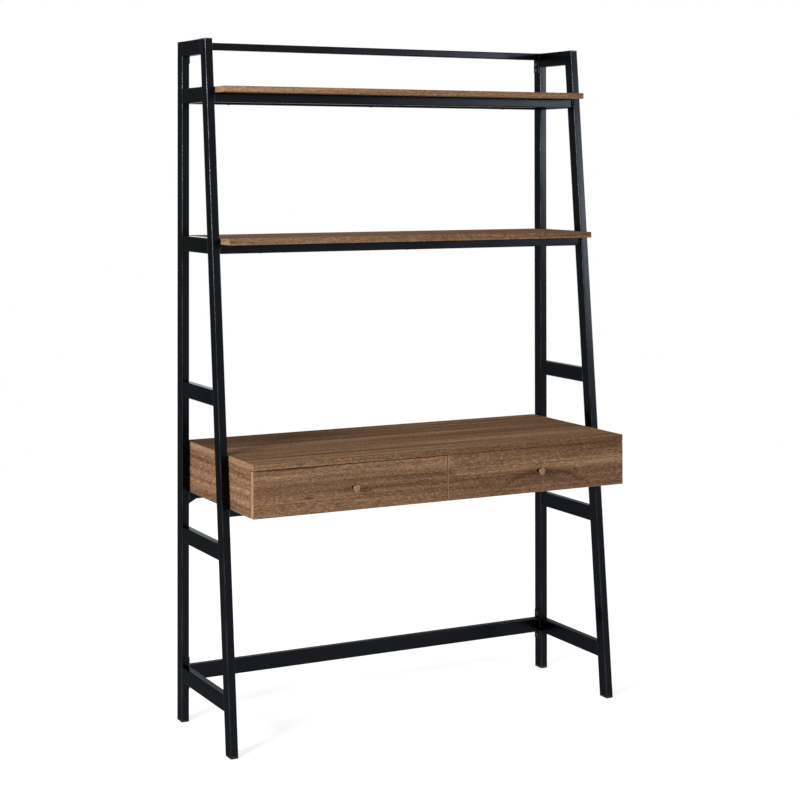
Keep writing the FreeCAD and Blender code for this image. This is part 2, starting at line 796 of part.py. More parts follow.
RUNNER_WALLS = {"inner": (BAY_INNER, RIGHT), "outer": (BAY_OUTER, LEFT)}
HALF_RUNNER = "(runner_height / 2)"
DRAWER_CHANNEL_HALF = "(runner_height / 2 - runner_steel - 2 * ball_radius - 2 * ball_clearance)"


def runner_span(side, which, near, far):
    wall, heading = RUNNER_WALLS[which]
    return mirrored(side, *from_wall(wall, heading, near, far))


def about_middle(half_height):
    return f"({RUNNER_MIDDLE_Z} - {half_height})", f"({RUNNER_MIDDLE_Z} + {half_height})"


CHANNEL_FACES = {"wall": "runner_steel", "drawer": "(runner_space - runner_steel)"}


def screw_line(side, which, channel):
    """Where a runner screw starts, on the inner face of its channel, and which way it goes."""
    wall, heading = RUNNER_WALLS[which]
    sign = "+" if heading == RIGHT else "-"
    to_right = (heading == RIGHT) != (channel == "wall")
    if side == LEFT:
        to_right = not to_right
    return x_at(side, f"({wall} {sign} {CHANNEL_FACES[channel]})"), "right" if to_right else "left"


def small_shank(name, side, which, channel, depth, gap="hole_clearance"):
    """The plain part of a runner screw; with a gap it drills the panel for it."""
    x, way = screw_line(side, which, channel)
    length = f"runner_steel + small_screw_bite + {gap}"
    return rod(name, f"small_screw_radius + {gap}", length, way, x, depth, RUNNER_MIDDLE_Z)


def small_screw(name, side, which, channel, depth, gap="0"):
    """A flat-head screw in a runner channel; with a gap it sinks the channel for it."""
    x, way = screw_line(side, which, channel)
    head = taper(name + "_head", f"small_screw_head_radius + {gap}", f"small_screw_radius + {gap}",
                 "runner_steel", way, x, depth, RUNNER_MIDDLE_Z)
    return joined(name, [head, small_shank(name + "_shank", side, which, channel, depth, gap)])


def wall_runner(word, side, which):
    """The channel fixed to the cabinet, open towards the drawer, with a stop tab at its front."""
    name = f"{word}_{which}_wall_runner"
    length = (RUNNER_REAR, RUNNER_FRONT)
    outer = box(name + "_block", runner_span(side, which, "0", "wall_channel_width"), length,
                about_middle(HALF_RUNNER))
    hollow = box(name + "_hollow", runner_span(side, which, "runner_steel", f"wall_channel_width + {PAST}"),
                 (f"({RUNNER_REAR} - {PAST})", f"({RUNNER_FRONT} + {PAST})"),
                 about_middle(f"({HALF_RUNNER} - runner_steel)"))
    channel = cut(name + "_channel", outer, [hollow])
    tab = box(name + "_tab", runner_span(side, which, "runner_steel", "runner_steel + stop_tab_width"),
              (f"({RUNNER_FRONT} - runner_steel)", RUNNER_FRONT), about_middle("stop_tab_height / 2"))
    solid = joined(name + "_solid", [channel, tab])
    holes = [small_screw(f"{name}_{place}_hole", side, which, "wall", depth, "hole_clearance")
             for place, depth in SMALL_SCREW_DEPTHS.items()]
    return cut(name, solid, holes)


def drawer_runner(word, side, which):
    """The channel on the drawer's side, open towards the cabinet, with a stop tab at its rear."""
    name = f"{word}_{which}_drawer_runner"
    length = (RUNNER_REAR, RUNNER_FRONT)
    edge = "drawer_channel_offset"
    outer = box(name + "_block", runner_span(side, which, edge, "runner_space"), length,
                about_middle(DRAWER_CHANNEL_HALF))
    inside = runner_span(side, which, f"{edge} - {PAST}", "(runner_space - runner_steel)")
    hollow = box(name + "_hollow", inside,
                 (f"({RUNNER_REAR} - {PAST})", f"({RUNNER_FRONT} + {PAST})"),
                 about_middle(f"({DRAWER_CHANNEL_HALF} - runner_steel)"))
    channel = cut(name + "_channel", outer, [hollow])
    tab = box(name + "_tab", runner_span(side, which, "cage_web_offset", f"{edge} + runner_steel"),
              (RUNNER_REAR, f"({RUNNER_REAR} + runner_steel)"),
              (f"({RUNNER_MIDDLE_Z} + {DRAWER_CHANNEL_HALF} - runner_steel)",
               f"({RUNNER_MIDDLE_Z} + {DRAWER_CHANNEL_HALF})"))
    solid = joined(name + "_solid", [channel, tab])
    holes = [small_screw(f"{name}_{place}_hole", side, which, "drawer", depth, "hole_clearance")
             for place, depth in SMALL_SCREW_DEPTHS.items()]
    return cut(name, solid, holes)


def ball_cage(word, side, which):
    """The strip that spaces the balls between the two channels, and its balls."""
    name = f"{word}_{which}_cage"
    middle = f"(({RUNNER_REAR} + {RUNNER_FRONT}) / 2)"
    rear = f"({middle} - cage_length / 2)"
    front = f"({middle} + cage_length / 2)"
    half = f"({BALL_LINE} + cage_steel / 2)"
    lip = "(ball_offset + ball_radius)"
    block = box(name + "_block", runner_span(side, which, "cage_web_offset", lip), (rear, front),
                about_middle(half))
    inside = runner_span(side, which, "cage_web_offset + cage_steel", f"{lip} + {PAST}")
    hollow = box(name + "_hollow", inside,
                 (f"({rear} - {PAST})", f"({front} + {PAST})"), about_middle(f"({half} - cage_steel)"))
    balls = []
    pockets = [hollow]
    middle_x = runner_span(side, which, "ball_offset", "ball_offset")[0]
    count = int(evaluate("(cage_length - 2 * ball_radius) / ball_pitch")) + 1
    for level, sign in (("upper", "+"), ("lower", "-")):
        for step in range(count):
            depth = f"({middle} + ({step} - {count - 1} / 2) * ball_pitch)"
            z = f"({RUNNER_MIDDLE_Z} {sign} {BALL_LINE})"
            label = f"{name}_{level}_{step}"
            balls.append(ball(label + "_ball", "ball_radius", middle_x, depth, z))
            pockets.append(ball(label + "_pocket", "ball_radius + ball_clearance", middle_x, depth, z))
    strip = block
    for index, tool in enumerate(pockets):
        strip = cut(f"{name}_cut_{index}", strip, [tool])
    return [strip] + balls


wall_runners = []
wall_screws = []
for word, side in SIDES.items():
    for which in RUNNER_WALLS:
        wall_runners.append(wall_runner(word, side, which))
        for place, depth in SMALL_SCREW_DEPTHS.items():
            name = f"{word}_{which}_{place}_wall"
            wall_screws.append(small_screw(name + "_screw", side, which, "wall", depth))
            hole = small_shank(name + "_pilot", side, which, "wall", depth)
            panel = "desk_divider" if which == "inner" else f"desk_{word}_panel"
            upright_tools[panel].append(hole)
node("wall_runners", grouped("wall_runners", wall_runners))
node("wall_runner_screws", grouped("wall_runner_screws", wall_screws))

top_board = board_body("desk_top_board", (minus(BOARD_END), BOARD_END), ("0", "desk_reach"),
                       (DESK_CEILING, "desk_top_level"))
node("desk_top", cut("desk_top", top_board, top_tools))
for name, (low_x, high_x, cam_side) in UPRIGHTS.items():
    low_z = DESK_CAVITY_FLOOR
    back = "back_panel_thickness" if name == "desk_divider" else "0"
    panel = board_body(name + "_board", (low_x, high_x), (back, CARCASS_REACH), (low_z, DESK_CEILING))
    node(name, cut(name, panel, upright_tools[name]))
floor_board = board_body("desk_floor_board", (minus(BOARD_END), BOARD_END), ("0", CARCASS_REACH),
                         (DESK_FLOOR, DESK_CAVITY_FLOOR))
node("desk_floor", cut("desk_floor", floor_board, floor_tools))
node("desk_back", box("desk_back", (minus(BAY_OUTER), BAY_OUTER), ("0", "back_panel_thickness"),
                      (DESK_CAVITY_FLOOR, DESK_CEILING)))


# ---- drawers ---------------------------------------------------------------------------------
BOTTOM_LOW = f"({SIDE_Z[0]} + bottom_groove_level)"
BOTTOM_HIGH = f"({BOTTOM_LOW} + bottom_thickness)"
INNER_FACE = f"({BAY_INNER} + runner_space + drawer_wall)"
OUTER_FACE = f"({BAY_OUTER} - runner_space - drawer_wall)"
DRAWER_CAM_Z = f"(({RUNNER_MIDDLE_Z} + {SIDE_Z[1]}) / 2)"


def groove(name, side):
    """The slot round a drawer's inside that holds its bottom."""
    return box(name, mirrored(side, f"{INNER_FACE} - groove_depth", f"{OUTER_FACE} + groove_depth"),
               (f"({SIDE_REAR} - {PAST})", f"({FRONT_REAR} + groove_depth)"),
               (f"({BOTTOM_LOW} - groove_clearance)", f"({BOTTOM_HIGH} + groove_clearance)"))


def drawer_cam(name, side, which, tool):
    """A cam disc in a drawer side's inner face and its bolt forward into the drawer front."""
    gap = "hole_clearance" if tool else "0"
    face = INNER_FACE if which == "inner" else OUTER_FACE
    away = (which == "inner") == (side == RIGHT)
    cam_way = "left" if away else "right"
    depth = f"({FRONT_REAR} - cam_inset)"
    disc = rod(name + "_disc", f"cam_radius + {gap}", f"drawer_cam_depth + {gap}", cam_way,
               x_at(side, face), depth, DRAWER_CAM_Z)
    sign = "-" if which == "inner" else "+"
    middle = x_at(side, f"({face} {sign} drawer_wall / 2)")
    start = depth if tool else f"({depth} + cam_radius)"
    length = f"cam_inset + cam_bolt_bite + {gap}" if tool else "cam_inset - cam_radius + cam_bolt_bite"
    bolt = rod(name + "_bolt", f"cam_bolt_radius + {gap}", length, "forward", middle, start, DRAWER_CAM_Z)
    return [disc, bolt]


def drawer_side(word, side, which):
    name = f"{word}_drawer_{which}_side"
    if which == "inner":
        span = (f"({INNER_FACE} - drawer_wall)", INNER_FACE)
    else:
        span = (OUTER_FACE, f"({OUTER_FACE} + drawer_wall)")
    panel = board_body(name + "_board", mirrored(side, *span), (SIDE_REAR, FRONT_REAR), SIDE_Z)
    tools = [groove(name + "_groove", side)]
    tools += [small_shank(f"{name}_{place}_pilot", side, which, "drawer", depth)
              for place, depth in SMALL_SCREW_DEPTHS.items()]
    solid = panel
    for index, tool in enumerate(tools + drawer_cam(name + "_cam_cut", side, which, True)):
        solid = cut(f"{name}_cut_{index}", solid, [tool])
    return node(name, solid)


def drawer_front(word, side):
    name = f"{word}_drawer_front"
    board = board_body(name + "_board", mirrored(side, "(front_middle_gap / 2)", BOARD_END),
                       (FRONT_REAR, "desk_reach"), (DESK_FLOOR, f"({DESK_CEILING} - front_top_gap)"))
    tools = [groove(name + "_groove", side)]
    tools.append(rod(name + "_knob_hole", "knob_screw_radius + hole_clearance",
                     f"front_thickness + 2 * {PAST}", "forward", x_at(side, FRONT_MIDDLE_X),
                     f"({FRONT_REAR} - {PAST})", FRONT_MIDDLE_Z))
    for which in RUNNER_WALLS:
        tools.append(drawer_cam(f"{name}_{which}_cam_cut", side, which, True)[1])
    solid = board
    for index, tool in enumerate(tools):
        solid = cut(f"{name}_cut_{index}", solid, [tool])
    return node(name, solid)


def knob(word, side):
    """A turned mushroom knob with a blind hole for its screw."""
    name = f"{word}_knob"
    body = doc.addObject("PartDesign::Body", name)
    hole = "(knob_screw_radius + hole_clearance)"
    hole_depth = "(knob_screw_bite + knob_hole_spare)"
    profile = [(hole, "0"), ("knob_neck_radius", "0"),
               ("knob_neck_radius", minus("knob_neck_length")),
               ("knob_radius", minus("(knob_neck_length + knob_flare)")),
               ("knob_radius", minus("knob_reach")), ("0", minus("knob_reach")),
               ("0", minus(hole_depth)), (hole, minus(hole_depth))]
    sketch = outline(body, name + "_profile", "XY_Plane", profile)
    turned = body.newObject("PartDesign::Revolution", name + "_turned")
    turned.Profile = sketch
    turned.ReferenceAxis = (sketch, ["V_Axis"])
    turned.Angle = 360
    body.Tip = turned

    def front_rim(edge):
        at_front = abs(edge.BoundBox.YMin + evaluate("knob_reach")) < 0.01
        return at_front and edge.BoundBox.YLength < 0.01 and edge.Length > 1

    rounded(body, name + "_rim", turned, "knob_rim_rounding", front_rim)
    put(body, x_at(side, FRONT_MIDDLE_X), "desk_reach", FRONT_MIDDLE_Z)
    return node(name, body)


def knob_screw(word, side):
    name = f"{word}_knob_screw"
    x = x_at(side, FRONT_MIDDLE_X)
    head = rod(name + "_head", "screw_head_radius", "screw_head_height", "forward",
               x, f"({FRONT_REAR} - screw_head_height)", FRONT_MIDDLE_Z)
    shank = rod(name + "_shank", "knob_screw_radius", "front_thickness + knob_screw_bite", "forward",
                x, FRONT_REAR, FRONT_MIDDLE_Z)
    return node(name, joined(name, [head, shank]))


for word, side in SIDES.items():
    drawer_front(word, side)
    drawer_side(word, side, "inner")
    drawer_side(word, side, "outer")
    across = mirrored(side, INNER_FACE, OUTER_FACE)
    back_depths = (SIDE_REAR, f"({SIDE_REAR} + drawer_wall)")
    node(f"{word}_drawer_back", board_body(f"{word}_drawer_back", across, back_depths,
                                           (BOTTOM_HIGH, SIDE_Z[1])))
    edge = "(groove_depth - bottom_edge_gap)"
    node(f"{word}_drawer_bottom", box(f"{word}_drawer_bottom",
                                      mirrored(side, f"{INNER_FACE} - {edge}", f"{OUTER_FACE} + {edge}"),
                                      (SIDE_REAR, f"({FRONT_REAR} + {edge})"), (BOTTOM_LOW, BOTTOM_HIGH)))
    knob(word, side)
    knob_screw(word, side)
    runners = []
    screws = []
    cages = []
    cams = []
    for which in RUNNER_WALLS:
        runners.append(drawer_runner(word, side, which))
        cages += ball_cage(word, side, which)
        cams += drawer_cam(f"{word}_{which}_drawer_cam", side, which, False)
        for place, depth in SMALL_SCREW_DEPTHS.items():
            name = f"{word}_{which}_{place}_drawer_screw"
            screws.append(small_screw(name, side, which, "drawer", depth))
    node(f"{word}_drawer_runners", grouped(f"{word}_drawer_runners", runners))
    node(f"{word}_drawer_runner_screws", grouped(f"{word}_drawer_runner_screws", screws))
    node(f"{word}_drawer_cam_fittings", grouped(f"{word}_drawer_cam_fittings", cams))
    node(f"{word}_ball_cages", grouped(f"{word}_ball_cages", cages))

# ---- checks and export -----------------------------------------------------------------------
doc.recompute()
for item in doc.Objects:
    if any(state in item.State for state in ("Invalid", "Error")):
        raise RuntimeError(f"{item.Label} failed to build: {item.State}")
for item in nodes:
    if item.Shape.isNull() or not item.Shape.isValid() or not item.Shape.Solids:
        raise RuntimeError(f"{item.Label} has no valid solid")

os.makedirs("parts", exist_ok=True)
for item in nodes:
    item.Shape.exportStep(os.path.join("parts", item.Label + ".step"))
print(len(nodes), "nodes,", sum(len(item.Shape.Solids) for item in nodes), "solids")
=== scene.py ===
import json
import math
from contextlib import contextmanager

import bmesh
import bpy
from mathutils import Matrix, Vector

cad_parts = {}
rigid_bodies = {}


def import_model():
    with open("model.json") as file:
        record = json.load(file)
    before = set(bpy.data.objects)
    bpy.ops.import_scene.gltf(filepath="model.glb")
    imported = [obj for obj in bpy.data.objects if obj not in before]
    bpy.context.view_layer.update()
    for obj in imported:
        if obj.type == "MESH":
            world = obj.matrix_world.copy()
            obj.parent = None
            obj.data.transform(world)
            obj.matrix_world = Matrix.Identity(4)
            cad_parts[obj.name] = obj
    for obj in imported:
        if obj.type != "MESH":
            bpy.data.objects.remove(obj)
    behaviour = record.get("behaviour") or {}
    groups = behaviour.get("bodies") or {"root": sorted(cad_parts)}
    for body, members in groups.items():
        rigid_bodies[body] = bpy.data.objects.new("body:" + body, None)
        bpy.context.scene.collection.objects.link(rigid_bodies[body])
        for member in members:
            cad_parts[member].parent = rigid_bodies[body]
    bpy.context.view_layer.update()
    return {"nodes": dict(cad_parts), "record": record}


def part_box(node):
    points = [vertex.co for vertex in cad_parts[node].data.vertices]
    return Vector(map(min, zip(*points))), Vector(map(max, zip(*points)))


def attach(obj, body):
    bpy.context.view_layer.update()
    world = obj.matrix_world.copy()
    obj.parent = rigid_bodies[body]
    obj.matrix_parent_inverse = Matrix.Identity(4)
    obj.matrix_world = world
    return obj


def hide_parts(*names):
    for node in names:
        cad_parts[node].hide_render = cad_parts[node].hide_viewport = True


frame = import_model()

LEFT, RIGHT = -1, 1
SIDES = {"left": LEFT, "right": RIGHT}
MAIN_BODY = "desk_frame"
STEEL_SLOT = "powder_coated_steel"

# ---- sizes of the finish details, in metres -----------------------------------------------------
TUBE_CORNER = 0.003
CAP_EASE = 0.0006
FOOT_EASE = 0.001
PLATE_DEPTH = 0.026
PLATE_CORNER = 0.002
PLATE_EASE = 0.0006
BAND_THICKNESS = 0.0010
BOARD_EASE = 0.0006
BAND_EASE = 0.0004
# the right drawer front stands taller, so that the gap over it is thin
FRONT_LIFT = {"left": 0.0, "right": 0.0010}
# a point this near to a plane lies on it
TOUCH = 0.00001

# a unit direction with this much of an axis in it runs along the axis
ALONG_AXIS = 0.9
SMOOTH_ANGLE = math.radians(32)


# ---- modelling ----------------------------------------------------------------------------------
def deselect():
    bpy.ops.object.select_all(action="DESELECT")


def activate(piece):
    """Selects one piece and nothing else."""
    deselect()
    piece.select_set(True)
    bpy.context.view_layer.objects.active = piece
    return piece


def settle(piece):
    """Puts the object's place, turn and scale into its mesh."""
    activate(piece)
    bpy.ops.object.transform_apply(location=True, rotation=True, scale=True)
    return piece


def named(name):
    piece = bpy.context.object
    piece.name = piece.data.name = name
    return piece


def block(name, low, high):
    """A cuboid between two corners."""
    deselect()
    low, high = Vector(low), Vector(high)
    bpy.ops.mesh.primitive_cube_add(size=1, location=(low + high) / 2)
    piece = named(name)
    piece.scale = high - low
    return settle(piece)


@contextmanager
def editing(piece):
    """Edit mode on one piece, with nothing of it selected."""
    activate(piece)
    bpy.ops.object.mode_set(mode="EDIT")
    bpy.ops.mesh.select_all(action="DESELECT")
    yield
    bpy.ops.object.mode_set(mode="OBJECT")


def pick(piece, kind, test):
    """Selects the vertices, edges or faces that pass a test, and nothing else."""
    bpy.ops.mesh.select_mode(type=kind)
    bpy.ops.mesh.select_all(action="DESELECT")
    shape = bmesh.from_edit_mesh(piece.data)
    shape.normal_update()
    parts = {"VERT": shape.verts, "EDGE": shape.edges, "FACE": shape.faces}[kind]
    for part in parts:
        if test(part):
            part.select_set(True)
    bmesh.update_edit_mesh(piece.data)


def runs(axis):
    """A test for edges along an axis."""
    way = Vector(axis)

    def test(edge):
        line = edge.verts[1].co - edge.verts[0].co
        return line.length > 0 and abs(line.normalized().dot(way)) > ALONG_AXIS
    return test


def ease(piece, width, test=lambda edge: True, segments=2):
    """Rounds the edges that pass a test."""
    with editing(piece):
        pick(piece, "EDGE", test)
        bpy.ops.mesh.bevel(offset=width, offset_type="OFFSET", segments=segments, profile=0.5,
                           affect="EDGES")
    return piece


def shift_part(piece, test, move):
    """Moves the vertices that pass a test."""
    with editing(piece):
        pick(piece, "VERT", test)
        bpy.ops.transform.translate(value=move)


def face_out(piece):
    with editing(piece):
        bpy.ops.mesh.select_all(action="SELECT")
        bpy.ops.mesh.normals_make_consistent(inside=False)
    return piece


def join(name, pieces):
    deselect()
    for piece in pieces:
        piece.select_set(True)
    bpy.context.view_layer.objects.active = pieces[0]
    if len(pieces) > 1:
        bpy.ops.object.join()
    return named(name)


def duplicate(piece, name, move=(0, 0, 0), mirror=False):
    """A copy with its own mesh, mirrored about the middle plane if asked, then moved."""
    activate(piece)
    bpy.ops.object.duplicate(linked=False)
    copy = named(name)
    if mirror:
        copy.scale.x = -1
        face_out(settle(copy))
    copy.location = move
    return settle(copy)


def scrap(piece):
    activate(piece)
    bpy.ops.object.delete()


def carve(piece, cutter):
    """Takes a cutter's shape out of a piece."""
    activate(piece)
    cut = piece.modifiers.new("cut", "BOOLEAN")
    cut.operation, cut.solver, cut.object = "DIFFERENCE", "EXACT", cutter
    bpy.ops.object.modifier_apply(modifier=cut.name)
    scrap(cutter)
    return piece


HEADINGS = {"X": ((1, 0, 0), (0, math.pi / 2, 0)), "-Y": ((0, -1, 0), (math.pi / 2, 0, 0)),
            "Z": ((0, 0, 1), (0, 0, 0))}


def turned(name, base, heading, rings, sides):
    """A lathe-turned shape: a disc carried from ring to ring, each a distance and a radius."""
    way, turn = Vector(HEADINGS[heading][0]), HEADINGS[heading][1]
    deselect()
    bpy.ops.mesh.primitive_circle_add(vertices=sides, radius=rings[0][1], fill_type="NGON",
                                      location=Vector(base) + way * rings[0][0], rotation=turn)
    piece = settle(named(name))
    with editing(piece):
        bpy.ops.mesh.select_all(action="SELECT")
        for (before, wide), (after, narrow) in zip(rings, rings[1:]):
            bpy.ops.mesh.extrude_region_move(TRANSFORM_OT_translate={"value": way * (after - before)})
            share = narrow / wide
            bpy.ops.transform.resize(value=(share, share, share), center_override=Vector(base) + way * after)
    return face_out(piece)


def round_bar(name, radius, length, middle, heading, sides):
    """A round or many-sided bar about a middle."""
    deselect()
    bpy.ops.mesh.primitive_cylinder_add(vertices=sides, radius=radius, depth=length, location=middle,
                                        rotation=HEADINGS[heading][1])
    return settle(named(name))


def cross_recess(piece, base, axes, length, width, depth):
    """Sinks a cross into a head; axes are the two directions in the head's face."""
    arms = []
    for along in axes:
        half = Vector([length / 2 if axis == along else width / 2 if axis in axes else depth
                       for axis in "XYZ"])
        arms.append(block("arm", Vector(base) - half, Vector(base) + half))
    for arm in arms:
        carve(piece, arm)
    return piece


def finish_shape(piece):
    """Smooth shading that keeps the flat faces flat."""
    activate(piece)
    bpy.ops.object.shade_smooth_by_angle(angle=SMOOTH_ANGLE)
    weights = piece.modifiers.new("flat faces", "WEIGHTED_NORMAL")
    weights.keep_sharp = True
    bpy.ops.object.modifier_apply(modifier=weights.name)
    return piece


def paint(piece, material):
    piece.data.materials.clear()
    piece.data.materials.append(material)
    return piece


def fit(piece, body, slot, *nodes):
    """Hands a finished piece to its body, as what stands for CAD nodes."""
    finish_shape(piece)
    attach(piece, body)
    if nodes:
        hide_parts(*nodes)
    return piece


# ---- material building --------------------------------------------------------------------------
def tone(red, green, blue):
    """A colour given in screen values of 0 to 255."""
    def linear(value):
        value /= 255
        return value / 12.92 if value <= 0.04045 else ((value + 0.055) / 1.055) ** 2.4
    return (linear(red), linear(green), linear(blue), 1)


def add(tree, kind, inputs=None, **settings):
    item = tree.nodes.new(kind)
    for key, value in settings.items():
        setattr(item, key, value)
    for key, value in (inputs or {}).items():
        if isinstance(value, bpy.types.NodeSocket):
            tree.links.new(value, item.inputs[key])
        else:
            item.inputs[key].default_value = value
    return item


def maths(tree, operation, *values):
    return add(tree, "ShaderNodeMath", dict(enumerate(values)), operation=operation).outputs[0]


def product(tree, first, second):
    return maths(tree, "MULTIPLY", first, second)


def weighted(tree, start, *terms):
    """A number plus each term's distance from one half times its weight."""
    total = start
    for value, weight in terms:
        total = maths(tree, "MULTIPLY_ADD", maths(tree, "SUBTRACT", value, 0.5), weight, total)
    return total


def blend(tree, share, first, second):
    """Mixes two colours."""
    return add(tree, "ShaderNodeMix", {0: share, 6: first, 7: second}, data_type="RGBA").outputs[2]


def span(tree, value, low, high, to_low=0.0, to_high=1.0):
    """Maps a value's span onto another and clamps it."""
    ends = {0: value, 1: low, 2: high, 3: to_low, 4: to_high}
    return add(tree, "ShaderNodeMapRange", ends, clamp=True).outputs[0]


def scaled(tree, vector, factors, offset=(0, 0, 0)):
    inputs = {"Vector": vector, "Scale": factors, "Location": offset}
    return add(tree, "ShaderNodeMapping", inputs).outputs[0]


def noise(tree, vector, detail=2.0, roughness=0.5, scale=1.0):
    return add(tree, "ShaderNodeTexNoise", {"Vector": vector, "Scale": scale, "Detail": detail,
                                            "Roughness": roughness}).outputs["Fac"]


VECTOR, FLOAT, COLOUR = "NodeSocketVector", "NodeSocketFloat", "NodeSocketColor"


def new_group(name, inputs, outputs):
    """An empty node group with named sockets; returns its tree and its two end nodes."""
    tree = bpy.data.node_groups.new(name, "ShaderNodeTree")
    for in_out, sockets in (("INPUT", inputs), ("OUTPUT", outputs)):
        for label, kind in sockets.items():
            tree.interface.new_socket(name=label, in_out=in_out, socket_type=kind)
    return tree, tree.nodes.new("NodeGroupInput"), tree.nodes.new("NodeGroupOutput")


# The layers of the walnut's grain: noise scales along and twice across the grain, then an offset.
WANDER, WANDER_REACH = (1.5, 5, 5), 0.016
FLITCH = (0.9, 15, 15), (0.4, 2.2, 1.1)
STREAK = (0.9, 110, 110), (3.1, 0.7, 1.9)
FINE_GRAIN = (120, 300, 300), (1.3, 5.2, 2.4)
DASH, DASH_SHARE = ((45, 760, 760), (7.3, 1.2, 4.4)), 0.55
PORE, PORE_SHARE = ((90, 1700, 1700), (0, 0, 0)), 0.45
FLITCH_WEIGHT, STREAK_WEIGHT, FINE_WEIGHT = 0.75, 1.5, 1.35
WOOD_SMOOTHEST, WOOD_ROUGHEST = 0.72, 0.86


def grain_group():
    """Walnut figure with its grain along the vector's X: colour, roughness and height."""
    tree, given, made = new_group(
        "walnut grain",
        {"Vector": VECTOR, "Middle": COLOUR, "Light": COLOUR, "Dark": COLOUR, "Figure": FLOAT,
         "Shade": FLOAT},
        {"Color": COLOUR, "Roughness": FLOAT, "Height": FLOAT})
    place, dark = given.outputs["Vector"], given.outputs["Dark"]

    # the grain wanders a little across the board
    swing = maths(tree, "SUBTRACT", noise(tree, scaled(tree, place, WANDER)), 0.5)
    wander = product(tree, swing, WANDER_REACH)
    shift = add(tree, "ShaderNodeCombineXYZ", {"Y": wander, "Z": wander}).outputs[0]
    wavy = add(tree, "ShaderNodeVectorMath", {0: place, 1: shift}, operation="ADD").outputs[0]

    flitch = noise(tree, scaled(tree, wavy, *FLITCH))
    streak = noise(tree, scaled(tree, wavy, *STREAK), detail=3.0, roughness=0.68)
    fine = noise(tree, scaled(tree, wavy, *FINE_GRAIN), detail=1.0, roughness=0.6)
    dash = noise(tree, scaled(tree, wavy, *DASH), detail=1.0)
    pore = noise(tree, scaled(tree, place, *PORE), detail=1.0)

    body = weighted(tree, given.outputs["Shade"],
                    (flitch, FLITCH_WEIGHT), (streak, STREAK_WEIGHT), (fine, FINE_WEIGHT))
    value = maths(tree, "MULTIPLY_ADD", body, given.outputs["Figure"], 0.5)
    colour = blend(tree, span(tree, value, 0.5, 1.0), given.outputs["Middle"], given.outputs["Light"])
    colour = blend(tree, span(tree, value, 0.5, 0.0), colour, dark)
    colour = blend(tree, span(tree, dash, 0.52, 0.68, to_high=DASH_SHARE), colour, dark)
    pores = span(tree, pore, 0.60, 0.70, to_high=PORE_SHARE)
    colour = blend(tree, pores, colour, dark)
    tree.links.new(colour, made.inputs["Color"])
    roughness = span(tree, fine, 0.3, 0.7, WOOD_SMOOTHEST, WOOD_ROUGHEST)
    tree.links.new(roughness, made.inputs["Roughness"])
    height = maths(tree, "SUBTRACT", product(tree, fine, 0.6), pores)
    tree.links.new(height, made.inputs["Height"])
    return tree


def speckle_group():
    """The tiny dimples and the broad haze of a sprayed, moulded or plated surface."""
    tree, given, made = new_group(
        "fine speckle", {"Vector": VECTOR, "Dimple Scale": FLOAT, "Haze Scale": FLOAT},
        {"Height": FLOAT, "Haze": FLOAT})
    vector = given.outputs["Vector"]
    dimples = noise(tree, vector, scale=given.outputs["Dimple Scale"])
    haze = noise(tree, vector, detail=3.0, roughness=0.6, scale=given.outputs["Haze Scale"])
    tree.links.new(dimples, made.inputs["Height"])
    tree.links.new(haze, made.inputs["Haze"])
    return tree


def edge_mask_group():
    """A mask of the outer edges, broken up by noise."""
    tree, given, made = new_group(
        "edge mask", {"Vector": VECTOR, "Width": FLOAT, "Break Up": FLOAT}, {"Mask": FLOAT})
    rounded = add(tree, "ShaderNodeBevel", {"Radius": given.outputs["Width"]}, samples=4).outputs[0]
    flat = add(tree, "ShaderNodeNewGeometry").outputs["True Normal"]
    facing = add(tree, "ShaderNodeVectorMath", {0: rounded, 1: flat}, operation="DOT_PRODUCT")
    edge = span(tree, facing.outputs["Value"], 0.995, 0.80)
    edge_marked = noise(tree, given.outputs["Vector"], detail=3.0, roughness=0.6,
                   scale=given.outputs["Break Up"])
    tree.links.new(product(tree, edge, span(tree, edge_marked, 0.35, 0.65)), made.inputs["Mask"])
    return tree


GRAIN = grain_group()
SPECKLE = speckle_group()
EDGE_MASK = edge_mask_group()


def new_material(name):
    """A material with only a Principled shader; returns it with its tree, shader and place vector."""
    material = bpy.data.materials.new(name)
    material.use_nodes = True
    tree = material.node_tree
    tree.nodes.clear()
    shader = tree.nodes.new("ShaderNodeBsdfPrincipled")
    out = tree.nodes.new("ShaderNodeOutputMaterial")
    tree.links.new(shader.outputs[0], out.inputs["Surface"])
    place = tree.nodes.new("ShaderNodeTexCoord").outputs["Object"]
    return material, tree, shader, place


def placed(tree, group, inputs):
    return add(tree, "ShaderNodeGroup", inputs, node_tree=group)


def bumped(tree, shader, height, strength, distance):
    bump = add(tree, "ShaderNodeBump", {"Height": height, "Strength": strength, "Distance": distance})
    tree.links.new(bump.outputs[0], shader.inputs["Normal"])


def separated(tree, vector):
    """A vector's X, Y and Z."""
    return add(tree, "ShaderNodeSeparateXYZ", {0: vector}).outputs


def hill(tree, value, middle, width):
    """A smooth hill of height 1 over a value."""
    away = maths(tree, "DIVIDE", maths(tree, "SUBTRACT", value, middle), width)
    return maths(tree, "EXPONENT", product(tree, product(tree, away, away), -1.0))


# ---- the walnut's own marks ---------------------------------------------------------------------
# Heights, places and their spreads are in metres. Weights above 0 lighten the wood, below 0 darken it.
FLAME_X, FLAME_REACH, FLAME_CURVE = 0.30, 0.19, 2.1
PALE_BAND, PALE_BAND_WEIGHT = (0.686, 0.008), 0.34
UPPER_ARCH, LOWER_ARCH, LOWER_ARCH_SHARE, ARCH_WEIGHT = (0.673, 0.007), (0.650, 0.006), 0.6, -0.30
STREAKY_TOP, STREAKY_TOP_WEIGHT = (0.695, 0.712), -0.20
RIGHT_FRONT = (0.0, 0.03)
# noise scales along X, Y and Z
SWAY, SWAY_REACH = (6, 1, 30), 0.012
